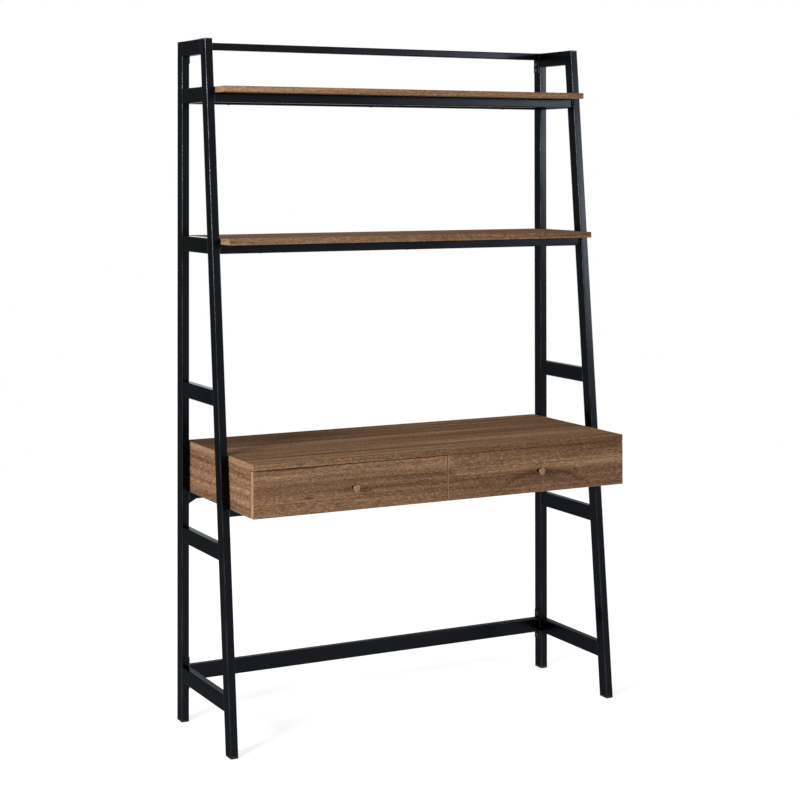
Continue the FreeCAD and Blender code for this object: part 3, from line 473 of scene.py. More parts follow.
# streaks that sway with the grain: height and its spread, X and its spread, weight
FRONT_STREAKS = ((0.712, 0.007, -0.50, 0.09, 0.22), (0.724, 0.006, -0.16, 0.12, -0.20),
                 (0.707, 0.005, -0.08, 0.09, 0.18))
# the pin knot, and a painted shadow along the left front's top edge under the desk top; both keep straight
FRONT_KNOT_AND_SHADOW = ((0.656, 0.0030, -0.411, 0.011, -0.9), (0.7325, 0.0035, -0.44, 0.11, -0.7))


def fronts_figure(tree, place):
    """The flame of the two drawer fronts: a pale band over dark arches, a streaky top, a pin knot, and a
    painted shadow under the desk top.
    """
    spot = separated(tree, place)
    x, z = spot["X"], spot["Z"]
    sway = maths(tree, "SUBTRACT", noise(tree, scaled(tree, place, SWAY)), 0.5)
    level = maths(tree, "MULTIPLY_ADD", sway, SWAY_REACH, z)
    right = span(tree, x, *RIGHT_FRONT)
    off = maths(tree, "SUBTRACT", x, FLAME_X)
    arched = maths(tree, "MULTIPLY_ADD", product(tree, off, off), FLAME_CURVE, level)
    arches = maths(tree, "ADD", hill(tree, arched, *UPPER_ARCH),
                   product(tree, hill(tree, arched, *LOWER_ARCH), LOWER_ARCH_SHARE))
    arches = product(tree, arches, hill(tree, x, FLAME_X, FLAME_REACH))
    marks = [(product(tree, hill(tree, level, *PALE_BAND), right), PALE_BAND_WEIGHT),
             (arches, ARCH_WEIGHT),
             (product(tree, span(tree, level, *STREAKY_TOP), right), STREAKY_TOP_WEIGHT)]
    for height_of, rows in ((level, FRONT_STREAKS), (z, FRONT_KNOT_AND_SHADOW)):
        for height, thickness, along, reach, weight in rows:
            mark = product(tree, hill(tree, height_of, height, thickness), hill(tree, x, along, reach))
            marks.append((mark, weight))
    total = 0.0
    for mark, weight in marks:
        total = maths(tree, "MULTIPLY_ADD", mark, weight, total)
    return total


TOP_LINES, TOP_LINES_WEIGHT = (0.4, 32, 1), 1.9
# painted shade on the desk top: its span in depth, its span from right to left with two shares, and its
# weight
TOP_SHADE_REAR, TOP_SHADE_LEFT, TOP_SHADE_WEIGHT = (-0.02, 0.18), (0.1, -0.45, 0.15, 1.15), -0.6


def top_figure(tree, place):
    """The desk top's broad lines along its width, and painted shade over its rear, most of all at the left.
    """
    lines = noise(tree, scaled(tree, place, TOP_LINES), detail=4.0, roughness=0.8)
    spot = separated(tree, place)
    # painted shade: the rear of the top is darker, most at the left
    rear = product(tree, span(tree, spot["Y"], *TOP_SHADE_REAR), span(tree, spot["X"], *TOP_SHADE_LEFT))
    return weighted(tree, product(tree, rear, TOP_SHADE_WEIGHT), (lines, TOP_LINES_WEIGHT))


# ---- finishes -----------------------------------------------------------------------------------
WOOD_SPECULAR = 0.006
STEEL_GRAZE = (0.485, 0.487, 0.483, 1)
# the dark brown of the painted shade on the knobs' necks
NECK_SHADE_TONE = tone(40, 26, 16)
TURNS = {"X": (0, 0, 0), "Y": (0, 0, -math.pi / 2), "Z": (0, math.pi / 2, 0)}
HAZE_SPAN = (0.3, 0.7)
WOOD_WEAR_SHARE, METAL_WEAR_SHARE = 0.25, 0.5
STEEL_SMOOTHEST, STEEL_ROUGHEST = 0.22, 0.30
# how much of a face's normal is upright where the painted edge highlight is least and full, then those two
# shares
STEEL_EDGE_HIGHLIGHT = (0.35, 0.08, 0.12, 1.0)


def walnut(name, along, tones, figure=1.0, offset=(0, 0, 0), marks=None):
    """Matt walnut laminate with its grain along an axis; tones are its middle, light and dark."""
    middle, light, dark = tones
    material, tree, shader, place = new_material(name)
    laid = add(tree, "ShaderNodeMapping", {"Vector": place, "Rotation": TURNS[along], "Location": offset})
    grain = placed(tree, GRAIN, {"Vector": laid.outputs[0], "Middle": middle, "Light": light, "Dark": dark,
                                 "Figure": figure})
    if marks:
        tree.links.new(marks(tree, place), grain.inputs["Shade"])
    edge_node = placed(tree, EDGE_MASK, {"Vector": place, "Width": 0.0012, "Break Up": 45.0})
    edge_lightening = product(tree, edge_node.outputs["Mask"], WOOD_WEAR_SHARE)
    colour = blend(tree, edge_lightening, grain.outputs["Color"], light)
    tree.links.new(colour, shader.inputs["Base Color"])
    tree.links.new(grain.outputs["Roughness"], shader.inputs["Roughness"])
    shader.inputs["Specular IOR Level"].default_value = WOOD_SPECULAR
    bumped(tree, shader, grain.outputs["Height"], strength=0.25, distance=0.0004)
    return material


def sprayed(name, colour, edge_lightening, roughness, specular, wear_share, dimple_scale, dimple):
    """A moulded plastic or blacked bolt: dimples, haze and slightly rubbed edges."""
    material, tree, shader, place = new_material(name)
    speckle = placed(tree, SPECKLE, {"Vector": place, "Dimple Scale": dimple_scale, "Haze Scale": 5.0})
    edge_node = placed(tree, EDGE_MASK, {"Vector": place, "Width": 0.0018, "Break Up": 30.0})
    hazy = blend(tree, span(tree, speckle.outputs["Haze"], *HAZE_SPAN, to_high=0.12), colour, edge_lightening)
    edge_marked = blend(tree, product(tree, edge_node.outputs["Mask"], wear_share), hazy, edge_lightening)
    tree.links.new(edge_marked, shader.inputs["Base Color"])
    rough = span(tree, speckle.outputs["Haze"], *HAZE_SPAN, roughness - 0.05, roughness + 0.07)
    tree.links.new(rough, shader.inputs["Roughness"])
    shader.inputs["Specular IOR Level"].default_value = specular
    bumped(tree, shader, speckle.outputs["Height"], dimple, distance=0.0002)
    return material


def coated_steel(name, colour, hazy, edge_lightening):
    """Satin black steel: it mirrors faintly and evenly, and its upright edges carry a painted highlight
    line, which also stands for slight rubbing.
    """
    material, tree, shader, place = new_material(name)
    speckle = placed(tree, SPECKLE, {"Vector": place, "Dimple Scale": 1100.0, "Haze Scale": 5.0})
    edge_node = placed(tree, EDGE_MASK, {"Vector": place, "Width": 0.0030, "Break Up": 12.0})
    haze = blend(tree, span(tree, speckle.outputs["Haze"], *HAZE_SPAN), colour, hazy)
    tilt = separated(tree, add(tree, "ShaderNodeNewGeometry").outputs["Normal"])
    upright = span(tree, maths(tree, "ABSOLUTE", tilt["Z"]), *STEEL_EDGE_HIGHLIGHT)
    # painted highlight: on upright faces the edges are lightened towards the edge tone, partly as slight
    # rubbing
    edge_marked = blend(tree, product(tree, edge_node.outputs["Mask"], upright), haze, edge_lightening)
    tree.links.new(edge_marked, shader.inputs["Base Color"])
    rough = span(tree, speckle.outputs["Haze"], *HAZE_SPAN, STEEL_SMOOTHEST, STEEL_ROUGHEST)
    tree.links.new(rough, shader.inputs["Roughness"])
    shader.inputs["Metallic"].default_value = 1.0
    shader.inputs["Specular Tint"].default_value = STEEL_GRAZE
    bumped(tree, shader, speckle.outputs["Height"], strength=0.1, distance=0.0001)
    return material


def plated(name, colour, dull, roughness, brush, painted_shade=None):
    """Bare or plated metal; its fine brushed lines run along the axis with the smallest brush factor, and a
    painted shade mask, if given, darkens it.
    """
    material, tree, shader, place = new_material(name)
    speckle = placed(tree, SPECKLE, {"Vector": place, "Dimple Scale": 300.0, "Haze Scale": 40.0})
    lines = noise(tree, scaled(tree, place, brush), roughness=0.6)
    edge_node = placed(tree, EDGE_MASK, {"Vector": place, "Width": 0.0006, "Break Up": 90.0})
    shown = blend(tree, span(tree, speckle.outputs["Haze"], *HAZE_SPAN, to_high=0.5), colour, dull)
    if painted_shade:
        # painted shade, where a mask for it is given
        shown = blend(tree, painted_shade(tree, place), shown, NECK_SHADE_TONE)
    bright = blend(tree, product(tree, edge_node.outputs["Mask"], METAL_WEAR_SHARE), shown, colour)
    tree.links.new(bright, shader.inputs["Base Color"])
    shader.inputs["Metallic"].default_value = 1.0
    rough = span(tree, lines, 0.3, 0.7, roughness - 0.06, roughness + 0.08)
    tree.links.new(rough, shader.inputs["Roughness"])
    bumped(tree, shader, lines, strength=0.15, distance=0.0002)
    return material


KNOB_LOW, KNOB_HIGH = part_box("left_knob")
RIM_FRONT, RIM_BACK = KNOB_LOW.y + 0.0014, KNOB_LOW.y + 0.0048
KNOB_LEVEL = (KNOB_LOW.z + KNOB_HIGH.z) / 2
# how much painted shade the knobs' necks take above and below their middle, and the height over which it
# changes
UPPER_NECK_SHADE, LOWER_NECK_SHADE, NECK_SHADE_RISE = 0.25, 0.95, 0.006


def knob_painted_shade(tree, place):
    """Painted shade: the knobs' necks and the undersides of their rims are darker than their faces, most of
    all on their lower side.
    """
    spot = separated(tree, place)
    neck = span(tree, spot["Y"], RIM_FRONT, RIM_BACK)
    side = span(tree, spot["Z"], KNOB_LEVEL + NECK_SHADE_RISE, KNOB_LEVEL, UPPER_NECK_SHADE, LOWER_NECK_SHADE)
    return product(tree, neck, side)


# middle, light and dark tones
BOARD_TONES = (tone(122, 92, 69), tone(158, 125, 96), tone(82, 57, 41))
TOP_TONES = (tone(121, 92, 67), tone(161, 128, 98), tone(79, 55, 38))
TOP_BAND_TONES = (tone(116, 88, 65), tone(158, 125, 96), tone(78, 54, 39))
SHELF_BAND_TONES = (tone(134, 104, 80), tone(170, 138, 110), tone(90, 65, 48))
END_TONES = (tone(152, 122, 96), tone(186, 154, 126), tone(110, 82, 61))
END_DEEP_TONES = (tone(144, 114, 89), tone(176, 144, 115), tone(104, 77, 57))
INNER_TONES = (tone(88, 62, 44), tone(120, 90, 66), tone(60, 42, 30))
DRAWER_TONES = (tone(128, 98, 74), tone(146, 116, 90), tone(98, 72, 53))
walnut_along = walnut("walnut_laminate", "X", BOARD_TONES)
walnut_front = walnut("walnut_laminate_fronts", "X", BOARD_TONES, marks=fronts_figure)
walnut_top = walnut("walnut_laminate_top", "X", TOP_TONES, marks=top_figure)
walnut_deep = walnut("walnut_laminate_sides", "Y", BOARD_TONES, figure=1.15, offset=(0.37, 0.21, 0.13))
band_along = walnut("walnut_edge_band_long", "X", TOP_BAND_TONES, offset=(0.2, 0.4, 0.1))
band_shelf = walnut("walnut_edge_band_shelf", "X", SHELF_BAND_TONES, offset=(0.6, 0.1, 0.7))
band_deep = walnut("walnut_edge_band_deep", "Y", END_DEEP_TONES, figure=0.8)
band_inner = walnut("walnut_edge_band_inner", "Z", INNER_TONES, figure=0.8)
band_upright = walnut("walnut_edge_band_upright", "Z", END_TONES, figure=0.8)
drawer_along = walnut("drawer_laminate", "X", DRAWER_TONES, figure=0.6, offset=(0.9, 0.3, 0.5))
drawer_deep = walnut("drawer_laminate_sides", "Y", DRAWER_TONES, figure=0.6, offset=(0.5, 0.8, 0.2))
# the last tone is the painted highlight line on the steel's upright edges
powder_coat = coated_steel("black_powder_coat", tone(22, 24, 26), tone(25, 27, 31), tone(112, 114, 120))
black_plastic = sprayed("black_glide_plastic", tone(18, 18, 19), tone(40, 40, 40), roughness=0.62,
                        specular=0.1, wear_share=0.5, dimple_scale=500.0, dimple=0.3)
bolt_black = sprayed("black_bolt_finish", tone(28, 28, 29), tone(90, 89, 87), roughness=0.34,
                     specular=0.25, wear_share=0.7, dimple_scale=1400.0, dimple=0.1)
zinc = plated("zinc_plate", tone(206, 208, 210), tone(160, 163, 166), roughness=0.32,
              brush=(900, 30, 900))
brass = plated("satin_brass", tone(150, 119, 94), tone(108, 83, 62), roughness=0.34,
               brush=(700, 60, 700), painted_shade=knob_painted_shade)


# ---- steel tubes --------------------------------------------------------------------------------
TUBE_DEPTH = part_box("left_rear_post")[1].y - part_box("left_rear_post")[0].y
POST_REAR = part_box("left_rear_post")[0].y


def steel(piece, *nodes):
    return fit(paint(piece, powder_coat), MAIN_BODY, STEEL_SLOT, *nodes)


def round_tube(piece, axis):
    """Rounded long edges."""
    return ease(piece, TUBE_CORNER, runs(axis), segments=4)


def leaning_front(z):
    """Y of the front posts' front face at a height."""
    low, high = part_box("left_front_post")
    share = (z - low.z) / (high.z - low.z)
    return low.y + share * (high.y - TUBE_DEPTH - low.y)


def leaning_post(name, node):
    low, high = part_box(node)
    top_front = leaning_front(high.z)
    piece = block(name, (low.x, top_front, low.z), high)
    shift_part(piece, lambda v: v.co.z < low.z + TOUCH, (0, low.y - top_front, 0))
    steel(round_tube(piece, (0, 0, 1)), node)


RUNG_HEIGHT = 0.041
RUNG_LEVELS = (0.108, 0.484, 0.874, 1.265, 1.661, 1.788)


def rung_tube(name, x_span, z):
    """One rung, its ends let into the posts' rounded corners, the front one at the lean."""
    front, rear = TUBE_DEPTH - TUBE_CORNER, POST_REAR + TUBE_CORNER
    foot, head = leaning_front(z) + front, leaning_front(z + RUNG_HEIGHT) + front
    piece = block(name, (x_span[0], foot, z), (x_span[1], rear, z + RUNG_HEIGHT))
    shift_part(piece, lambda v: v.co.z > z + TOUCH and v.co.y < foot + TOUCH, (0, head - foot, 0))
    return round_tube(piece, (0, 1, 0))


for word in SIDES:
    upright = block(f"{word}_upright_tube", *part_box(f"{word}_rear_post"))
    steel(round_tube(upright, (0, 0, 1)), f"{word}_rear_post")
    leaning_post(f"{word}_leaning_tube", f"{word}_front_post")
    low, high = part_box(f"{word}_rungs")
    rungs = [rung_tube(f"{word}_rung", (low.x, high.x), z) for z in RUNG_LEVELS]
    steel(join(f"{word}_ladder_rungs", rungs), f"{word}_rungs")

RAILS = ("top_rail", "floor_rail", "upper_shelf_front_rail", "upper_shelf_rear_rail",
         "middle_shelf_front_rail", "middle_shelf_rear_rail", "desk_front_rail", "desk_rear_rail")
for rail in RAILS:
    steel(round_tube(block(f"{rail}_tube", *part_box(rail)), (1, 0, 0)), rail)

# ---- caps and feet ------------------------------------------------------------------------------
CAP_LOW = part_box("left_rear_post")[1].z
FOOT_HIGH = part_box("left_rear_post")[0].z
PLUG_INSET = 0.0017
PLUG_LENGTH = 0.012


def over_tube_end(name, z_low, z_high, side, leaning):
    """A block with the tube's outline at one end of a post."""
    low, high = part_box("left_rear_post" if side == LEFT else "right_rear_post")
    near = leaning_front(z_high if z_low < FOOT_HIGH else z_low) if leaning else POST_REAR
    piece = block(name, (low.x, near, z_low), (high.x, near + TUBE_DEPTH, z_high))
    return round_tube(piece, (0, 0, 1))


def foot_with_plug(name, side, leaning):
    """A glide under a post with its plug pushed up into the tube."""
    piece = over_tube_end(name, 0, FOOT_HIGH, side, leaning)
    ease(piece, FOOT_EASE, lambda edge: all(v.co.z < TOUCH for v in edge.verts))
    with editing(piece):
        pick(piece, "FACE", lambda face: face.normal.z > ALONG_AXIS)
        bpy.ops.mesh.inset(thickness=PLUG_INSET)
        bpy.ops.mesh.extrude_region_move(TRANSFORM_OT_translate={"value": (0, 0, PLUG_LENGTH)})
    return piece


caps, feet = [], []
for side in (LEFT, RIGHT):
    for leaning in (False, True):
        cap = over_tube_end("cap", CAP_LOW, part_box("post_caps")[1].z, side, leaning)
        caps.append(ease(cap, CAP_EASE, lambda edge: all(v.co.z > CAP_LOW + TOUCH for v in edge.verts)))
        feet.append(foot_with_plug("foot", side, leaning))
steel(join("post_end_caps", caps), "post_caps")
fit(paint(join("post_foot_glides", feet), black_plastic), MAIN_BODY, "black_plastic", "foot_glides")


# ---- end plates and gussets ---------------------------------------------------------------------
PLATE_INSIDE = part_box("top_rail")[1].x
POST_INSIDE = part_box("right_rear_post")[0].x
SHELF_PLATE_DROP = 0.0008
GUSSET_WIDTH = 0.030


def rail_middle(rail):
    low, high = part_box(rail)
    return (low.y + high.y) / 2


def plate_pair(rail, z_low, z_high):
    """The two plates at a rail's ends."""
    middle = rail_middle(rail)
    plate = block("plate", (PLATE_INSIDE, middle - PLATE_DEPTH / 2, z_low),
                  (POST_INSIDE, middle + PLATE_DEPTH / 2, z_high))
    ease(plate, PLATE_CORNER, runs((1, 0, 0)), segments=3)
    ease(plate, PLATE_EASE, lambda edge: all(abs(v.co.x - PLATE_INSIDE) < TOUCH for v in edge.verts))
    return [duplicate(plate, "plate", mirror=True), plate]


for rail in ("top_rail", "floor_rail"):
    low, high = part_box(f"{rail}_end_plates")
    steel(join(f"{rail}_fixing_plates", plate_pair(rail, low.z, high.z)), f"{rail}_end_plates")
shelf_plates, desk_plates = [], []
for end in ("front", "rear"):
    for shelf in ("upper_shelf", "middle_shelf"):
        rail = f"{shelf}_{end}_rail"
        shelf_plates += plate_pair(rail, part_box(rail)[0].z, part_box(shelf)[1].z - SHELF_PLATE_DROP)
    rail = f"desk_{end}_rail"
    desk_plates += plate_pair(rail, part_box(rail)[0].z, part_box("desk_rail_end_plates")[1].z)
steel(join("shelf_rail_fixing_plates", shelf_plates), "shelf_rail_end_plates")
steel(join("desk_rail_fixing_plates", desk_plates), "desk_rail_end_plates")

low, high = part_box("desk_rail_gussets")
gusset = block("gusset", (high.x - GUSSET_WIDTH, low.y, low.z), high)
with editing(gusset):
    bpy.ops.mesh.select_all(action="SELECT")
    bpy.ops.mesh.bisect(plane_co=(high.x, 0, low.z), plane_no=(low.z - high.z, 0, -GUSSET_WIDTH),
                        use_fill=True, clear_outer=True)
ease(gusset, PLATE_EASE / 2)
steel(join("desk_rail_corner_gussets", [duplicate(gusset, "gusset", mirror=True), gusset]),
      "desk_rail_gussets")

# ---- bolts and screws ---------------------------------------------------------------------------
BOLT_RADIUS, BOLT_LENGTH, BOLT_TIP_EASE = 0.0025, 0.015, 0.0005
SOCKET_ACROSS, SOCKET_DEPTH = 0.003, 0.0015
TOP_BOLT_DROPS = (0.012, 0.030)
FLOOR_BOLT_REACH = 0.011
SHELF_BOLT_DROP = 0.009
DESK_BOLT_RISES = (0.010, 0.028)
SCREW_SETBACK = 0.120
SCREW_RADIUS, SCREW_HEAD = 0.002, 0.004
SCREW_HEAD_HEIGHT, SCREW_BITE = 0.0010, 0.010
SCREW_POINT, SCREW_TIP_RADIUS = 0.002, 0.0007
# the length, width and depth of the cross in a screw's head
SCREW_CROSS = (0.0042, 0.0009, 0.0011)


def socket_bolt(name, head):
    """A bolt with its head's seat on x = 0, its shank towards +X and a six-sided socket."""
    shank = [(BOLT_LENGTH - BOLT_TIP_EASE, BOLT_RADIUS), (BOLT_LENGTH, BOLT_RADIUS - BOLT_TIP_EASE)]
    bolt = turned(name, (0, 0, 0), "X", head + shank, sides=24)
    corner_radius = SOCKET_ACROSS / math.sqrt(3)
    crown = (head[0][0], 0, 0)
    return carve(bolt, round_bar("socket", corner_radius, 2 * SOCKET_DEPTH, crown, "X", sides=6))


def pan_screw(heading, length):
    """A pan-head screw with a cross recess, its head's seat at the origin."""
    head = [(-SCREW_HEAD_HEIGHT, 0.0024), (-0.0009, 0.0032), (-0.0006, 0.0037), (-0.0002, SCREW_HEAD),
            (0, SCREW_HEAD), (0, SCREW_RADIUS), (length - SCREW_POINT, SCREW_RADIUS),
            (length, SCREW_TIP_RADIUS)]
    screw = turned("pan screw", (0, 0, 0), heading, head, sides=20)
    face = Vector(HEADINGS[heading][0]) * -SCREW_HEAD_HEIGHT
    return cross_recess(screw, face, "XY" if heading == "Z" else "XZ", *SCREW_CROSS)


def both_sides(master, spots):
    """Copies of a bolt through both side frames, at each depth and level."""
    copies = []
    for y, z in spots:
        copies.append(duplicate(master, "bolt", (PLATE_INSIDE, y, z)))
        copies.append(duplicate(master, "bolt", (-PLATE_INSIDE, y, z), mirror=True))
    scrap(master)
    return copies


# the rings of the two heads: distance along the bolt and radius
BUTTON_HEAD = [(-0.00275, 0.0021), (-0.00262, 0.0031), (-0.0021, 0.0041), (-0.0013, 0.0046),
               (-0.0004, 0.00475), (0, 0.0046), (0, BOLT_RADIUS)]
FLAT_HEAD = [(-0.00015, 0.0047), (0.00005, 0.005), (0.0025, BOLT_RADIUS)]
top_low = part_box("top_rail")[0].z
button_spots = [(rail_middle("top_rail"), top_low - drop) for drop in TOP_BOLT_DROPS]
low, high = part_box("floor_rail")
button_spots += [(rail_middle("floor_rail"), low.z - FLOOR_BOLT_REACH),
                 (rail_middle("floor_rail"), high.z + FLOOR_BOLT_REACH)]
button_bolts = join("frame_button_bolts", both_sides(socket_bolt("button bolt", BUTTON_HEAD), button_spots))
fit(paint(button_bolts, bolt_black), MAIN_BODY, "black_bolt_steel", "button_head_bolts")

flat_spots, screw_spots = [], []
for carried in ("upper_shelf", "middle_shelf", "desk"):
    for end in ("front", "rear"):
        rail = f"{carried}_{end}_rail"
        low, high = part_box(rail)
        middle, reach = rail_middle(rail), high.x - SCREW_SETBACK
        if carried == "desk":
            flat_spots += [(middle, high.z + rise) for rise in DESK_BOLT_RISES]
            screw_xs = (-reach, reach)
        else:
            flat_spots.append((middle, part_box(carried)[1].z - SHELF_BOLT_DROP))
            screw_xs = (-reach, 0, reach)
        screw_spots += [((x, middle, low.z), high.z - low.z) for x in screw_xs]
flat_bolts = join("frame_flat_bolts", both_sides(socket_bolt("flat bolt", FLAT_HEAD), flat_spots))
fit(paint(flat_bolts, bolt_black), MAIN_BODY, "black_bolt_steel", "flat_head_bolts")

master = pan_screw("Z", min(height for _, height in screw_spots) + SCREW_BITE)
screws = [duplicate(master, "screw", spot) for spot, _ in screw_spots]
scrap(master)
fit(paint(join("board_pan_screws", screws), bolt_black), MAIN_BODY, "black_bolt_steel", "board_screws")

# ---- cam discs ----------------------------------------------------------------------------------
CAM_RADIUS, CAM_INSET, CAM_SETBACK = 0.0075, 0.030, 0.070
DRAWER_CAM_DEPTH, DESK_CAM_DEPTH = 0.0096, 0.011
CAM_CLEARANCE, CAM_SINK = 0.0002, 0.0003
CAM_FACE_EASE, CAM_FACE_EASE_DEPTH, CAM_BACK_EASE = 0.0004, 0.0003, 0.0005
CAM_CROSS = (0.0086, 0.0015, 0.0030)
CAM_SIDES = 28
DESK_CAM_BACKS = {"desk_left_panel": LEFT, "desk_divider": LEFT, "desk_right_panel": RIGHT}


def desk_cam_spots(panel):
    """Where a desk panel's cam discs sit: x, y, z and the side their backs point to."""
    back = DESK_CAM_BACKS[panel]
    low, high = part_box(panel)
    front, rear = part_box("desk_left_panel")[0].y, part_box("desk_left_panel")[1].y
    face = high.x if back == LEFT else low.x
    return [(face, y, z, back) for y in (rear - CAM_SETBACK, front + CAM_SETBACK)
            for z in (high.z - CAM_INSET, low.z + CAM_INSET)]


def drawer_cam_spot(word, which):
    back = SIDES[word] if which == "outer" else -SIDES[word]
    low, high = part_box(f"{word}_drawer_{which}_side")
    cam_low, cam_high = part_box(f"{word}_drawer_cam_fittings")
    front_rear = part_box(f"{word}_drawer_front")[1].y
    return (low.x if back == RIGHT else high.x, front_rear + CAM_INSET, (cam_low.z + cam_high.z) / 2, back)


def cam_set(depth, spots):
    """Cam discs with a cross slot, each let into its board from the face."""
    rings = [(0, CAM_RADIUS - CAM_FACE_EASE), (CAM_FACE_EASE_DEPTH, CAM_RADIUS),
             (depth - CAM_BACK_EASE, CAM_RADIUS), (depth, CAM_RADIUS - CAM_BACK_EASE)]
    disc = turned("cam", (0, 0, 0), "X", rings, CAM_SIDES)
    master = cross_recess(disc, (0, 0, 0), "YZ", *CAM_CROSS)
    copies = [duplicate(master, "cam", (x + back * CAM_SINK, y, z), mirror=back == LEFT)
              for x, y, z, back in spots]
    scrap(master)
    return copies


for word in SIDES:
    spots = [drawer_cam_spot(word, which) for which in ("inner", "outer")]
    fit(paint(join(f"{word}_drawer_cam_discs", cam_set(DRAWER_CAM_DEPTH, spots)), zinc),
        f"{word}_drawer", "zinc_steel", f"{word}_drawer_cam_fittings")
spots = [spot for panel in DESK_CAM_BACKS for spot in desk_cam_spots(panel)]
fit(paint(join("desk_cam_discs", cam_set(DESK_CAM_DEPTH, spots)), zinc), MAIN_BODY, "zinc_steel",
    "desk_cam_fittings")


# ---- boards -------------------------------------------------------------------------------------
def board(name, node, face, bands, body=MAIN_BODY, slot="walnut_board", cams=(),
          cam_depth=DESK_CAM_DEPTH, lift=0.0):
    """A laminated board with edge bands on the ends named in bands, such as {"-x": material}."""
    low, high = [Vector(corner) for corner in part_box(node)]
    high.z += lift
    core_low, core_high = low.copy(), high.copy()
    parts = []
    for end, material in bands.items():
        axis = "xyz".index(end[1])
        strip_low, strip_high = core_low.copy(), core_high.copy()
        if end[0] == "-":
            strip_high[axis] = low[axis] + BAND_THICKNESS
            core_low[axis] = strip_high[axis]
        else:
            strip_low[axis] = high[axis] - BAND_THICKNESS
            core_high[axis] = strip_low[axis]
        strip = block(name + "_band", strip_low, strip_high)
        ease(strip, BAND_EASE)
        parts.append(paint(strip, material))
    core = block(name, core_low, core_high)
    ease(core, BAND_EASE / 2 if bands else BOARD_EASE)
    for x, y, z, _ in cams:
        pocket = round_bar("pocket", CAM_RADIUS + CAM_CLEARANCE, 2 * cam_depth, (x, y, z), "X", CAM_SIDES)
        carve(core, pocket)
    paint(core, face)
    piece = join(name, [core] + parts)
    return fit(piece, body, slot, node)


ENDS_DEEP = {"-x": band_deep, "+x": band_deep}
for shelf in ("upper_shelf", "middle_shelf"):
    board(f"{shelf}_board", shelf, walnut_along, {**ENDS_DEEP, "-y": band_shelf, "+y": band_shelf})
board("desk_top_board", "desk_top", walnut_top, {**ENDS_DEEP, "-y": band_along, "+y": band_along})
UPRIGHT_BOARDS = {"desk_left_side_board": "desk_left_panel", "desk_right_side_board": "desk_right_panel",
                  "desk_middle_board": "desk_divider"}
for name, node in UPRIGHT_BOARDS.items():
    board(name, node, walnut_deep, {"-y": band_inner}, cams=desk_cam_spots(node))
board("desk_bottom_board", "desk_floor", walnut_along,
      {"-x": walnut_deep, "+x": walnut_deep, "-y": band_along})
board("desk_rear_board", "desk_back", walnut_along, {})
for word in SIDES:
    body = f"{word}_drawer"
    board(f"{word}_drawer_face_board", f"{word}_drawer_front", walnut_front,
          {"-x": band_upright, "+x": band_upright}, body, lift=FRONT_LIFT[word])
    for which in ("inner", "outer"):
        board(f"{word}_drawer_{which}_wall", f"{word}_drawer_{which}_side", drawer_deep, {"+z": drawer_deep},
              body, "drawer_board", [drawer_cam_spot(word, which)], DRAWER_CAM_DEPTH)
    board(f"{word}_drawer_rear_wall", f"{word}_drawer_back", drawer_along, {"+z": drawer_along},
          body, "drawer_board")
    board(f"{word}_drawer_tray", f"{word}_drawer_bottom", drawer_along, {}, body, "drawer_board")


# ---- knobs --------------------------------------------------------------------------------------
# from the drawer front outwards: base, neck, flare, rim, and the dish in the face
KNOB_RINGS = [(0, 0.0046), (0.0006, 0.0046), (0.0012, 0.0040), (0.0068, 0.0039), (0.0090, 0.0046),
              (0.0120, 0.0066), (0.0144, 0.0088), (0.0152, 0.0094), (0.0160, 0.0095), (0.0202, 0.0095),
              (0.0212, 0.0092), (0.0218, 0.0086), (0.0220, 0.0078), (0.0218, 0.0071), (0.0213, 0.0064),
              (0.0212, 0.0030), (0.0212, 0.0008)]

for word in SIDES:
    low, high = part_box(f"{word}_knob")
    middle = (low + high) / 2
    knob = turned(f"{word}_round_knob", (middle.x, high.y, middle.z), "-Y", KNOB_RINGS, sides=40)
    fit(paint(knob, brass), f"{word}_drawer", "knob_brass", f"{word}_knob")
    front_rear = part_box(f"{word}_drawer_front")[1].y
    master = pan_screw("-Y", high.y - low.y)
    screw = duplicate(master, f"{word}_knob_pan_screw", (middle.x, front_rear, middle.z))
    scrap(master)
    fit(paint(screw, zinc), f"{word}_drawer", "zinc_steel", f"{word}_knob_screw")

# ---- zinc fittings that keep their CAD shape ----------------------------------------------------
for part in frame["record"]["subparts"]:
    item = frame["nodes"][part["node"]]
    if not item.hide_render:
        for slot in item.material_slots:
            slot.material = zinc

# ---- stage --------------------------------------------------------------------------------------
FLOOR_RADIUS, FLOOR_DROP = 9.0, 0.0005
FLOOR_FADE = (1.6, 4.0)
FLOOR_GREY = (0.55, 0.55, 0.55, 1)
FLOOR_GLOW = 0.66
FLOOR_SIDES = 96
SKY_STRENGTH = 0.45
WHITE = (1, 1, 1, 1)


def background_rays(tree):
    """1 for rays that show the background: to the camera, or reflected or refracted."""
    path = add(tree, "ShaderNodeLightPath").outputs
    mirrored = maths(tree, "MAXIMUM", path["Is Glossy Ray"], path["Is Transmission Ray"])
    return maths(tree, "MAXIMUM", path["Is Camera Ray"], mirrored)


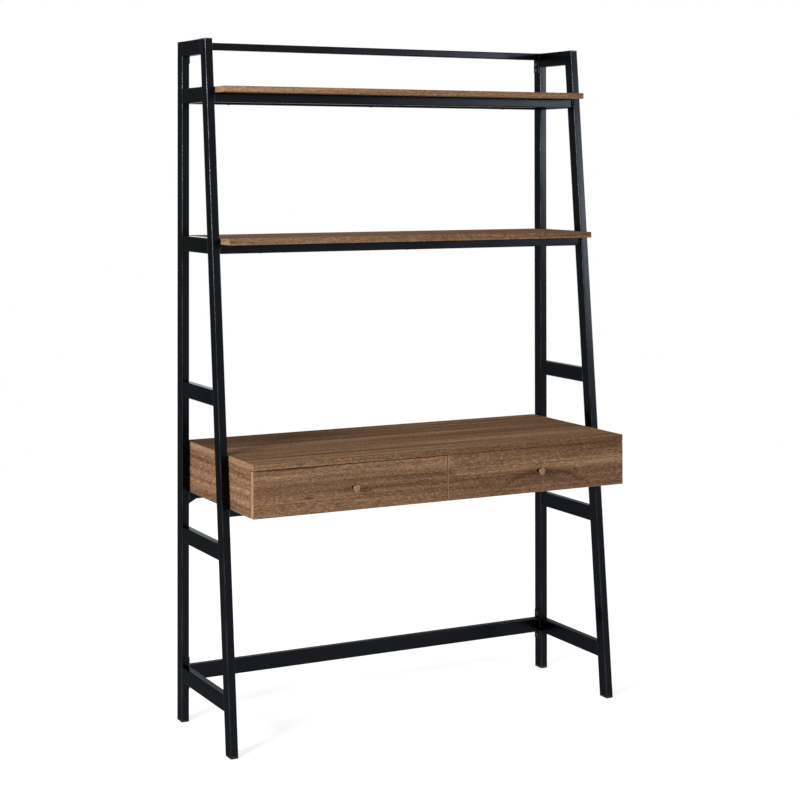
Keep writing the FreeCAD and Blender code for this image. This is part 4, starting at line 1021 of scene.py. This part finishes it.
def floor_material():
    """A pale floor that keeps the shadows near the desk and is white further out."""
    material, tree, shader, place = new_material("pale_floor")
    tree.nodes.remove(shader)
    out = next(n for n in tree.nodes if n.type == "OUTPUT_MATERIAL")
    matt = add(tree, "ShaderNodeBsdfDiffuse", {"Color": FLOOR_GREY}).outputs[0]
    glow = add(tree, "ShaderNodeEmission", {"Color": WHITE, "Strength": FLOOR_GLOW}).outputs[0]
    white = add(tree, "ShaderNodeEmission", {"Color": WHITE, "Strength": 1.0}).outputs[0]
    both = add(tree, "ShaderNodeAddShader", {0: matt, 1: glow}).outputs[0]
    reach = add(tree, "ShaderNodeVectorMath", {0: place}, operation="LENGTH").outputs["Value"]
    far = span(tree, reach, *FLOOR_FADE)
    near_or_far = add(tree, "ShaderNodeMixShader", {0: far, 1: both, 2: white}).outputs[0]
    final = add(tree, "ShaderNodeMixShader", {0: background_rays(tree), 1: matt, 2: near_or_far}).outputs[0]
    tree.links.new(final, out.inputs["Surface"])
    return material


deselect()
bpy.ops.mesh.primitive_circle_add(vertices=FLOOR_SIDES, radius=FLOOR_RADIUS, fill_type="NGON",
                                  location=(0, 0, -FLOOR_DROP))
floor = settle(named("studio_floor"))
paint(floor, floor_material())

world = bpy.data.worlds.new("studio")
bpy.context.scene.world = world
world.use_nodes = True
tree = world.node_tree
tree.nodes.clear()
strength = span(tree, background_rays(tree), 0.0, 1.0, SKY_STRENGTH, 1.0)
sky = add(tree, "ShaderNodeBackground", {"Color": WHITE, "Strength": strength}).outputs[0]
tree.links.new(sky, tree.nodes.new("ShaderNodeOutputWorld").inputs["Surface"])


def lamp(name, place, target, size, power):
    """A soft square lamp aimed at a point."""
    data = bpy.data.lights.new(name, "AREA")
    data.shape = "SQUARE"
    data.size = size
    data.energy = power
    item = bpy.data.objects.new(name, data)
    bpy.context.scene.collection.objects.link(item)
    item.location = place
    item.rotation_euler = (Vector(target) - Vector(place)).to_track_quat("-Z", "Y").to_euler()


lamp("key_lamp", place=(-4.8, -2.2, 2.4), target=(0, 0, 0.9), size=1.6, power=319)
lamp("fill_lamp", place=(3.9, -4.2, 1.95), target=(0, 0, 1.0), size=1.1, power=69)
lamp("rear_lamp", place=(1.0, 4.5, 3.0), target=(0, 0, 0.9), size=3.0, power=60)

# ---- camera -------------------------------------------------------------------------------------
CAMERA_PLACE = (-2.37766, -4.05931, 1.49674)
CAMERA_TURN = (math.pi / 2 + 0.00928, 0, -0.44125)
LENS_REACH = 2.14
PICTURE_SLIDE, PICTURE_DROP = 0.17996, -0.31382
SENSOR_SIDE = 36

# The nearly level camera looks off its axis, as a view camera does with its front slid sideways and down.
stand = bpy.data.objects.new("camera_stand", None)
bpy.context.scene.collection.objects.link(stand)
stand.location, stand.rotation_euler = CAMERA_PLACE, CAMERA_TURN
axis = Vector((-PICTURE_SLIDE, -PICTURE_DROP, LENS_REACH))
camera_data = bpy.data.cameras.new("camera")
camera_data.sensor_width = SENSOR_SIDE
camera_data.lens = SENSOR_SIDE * axis.length
camera = bpy.data.objects.new("camera", camera_data)
bpy.context.scene.collection.objects.link(camera)
camera.parent = stand
camera.matrix_parent_inverse = Matrix.Identity(3).to_4x4()
camera.matrix_parent_inverse.col[2][:3] = axis.normalized()
bpy.context.scene.camera = camera

bpy.context.scene.view_settings.view_transform = "Standard"
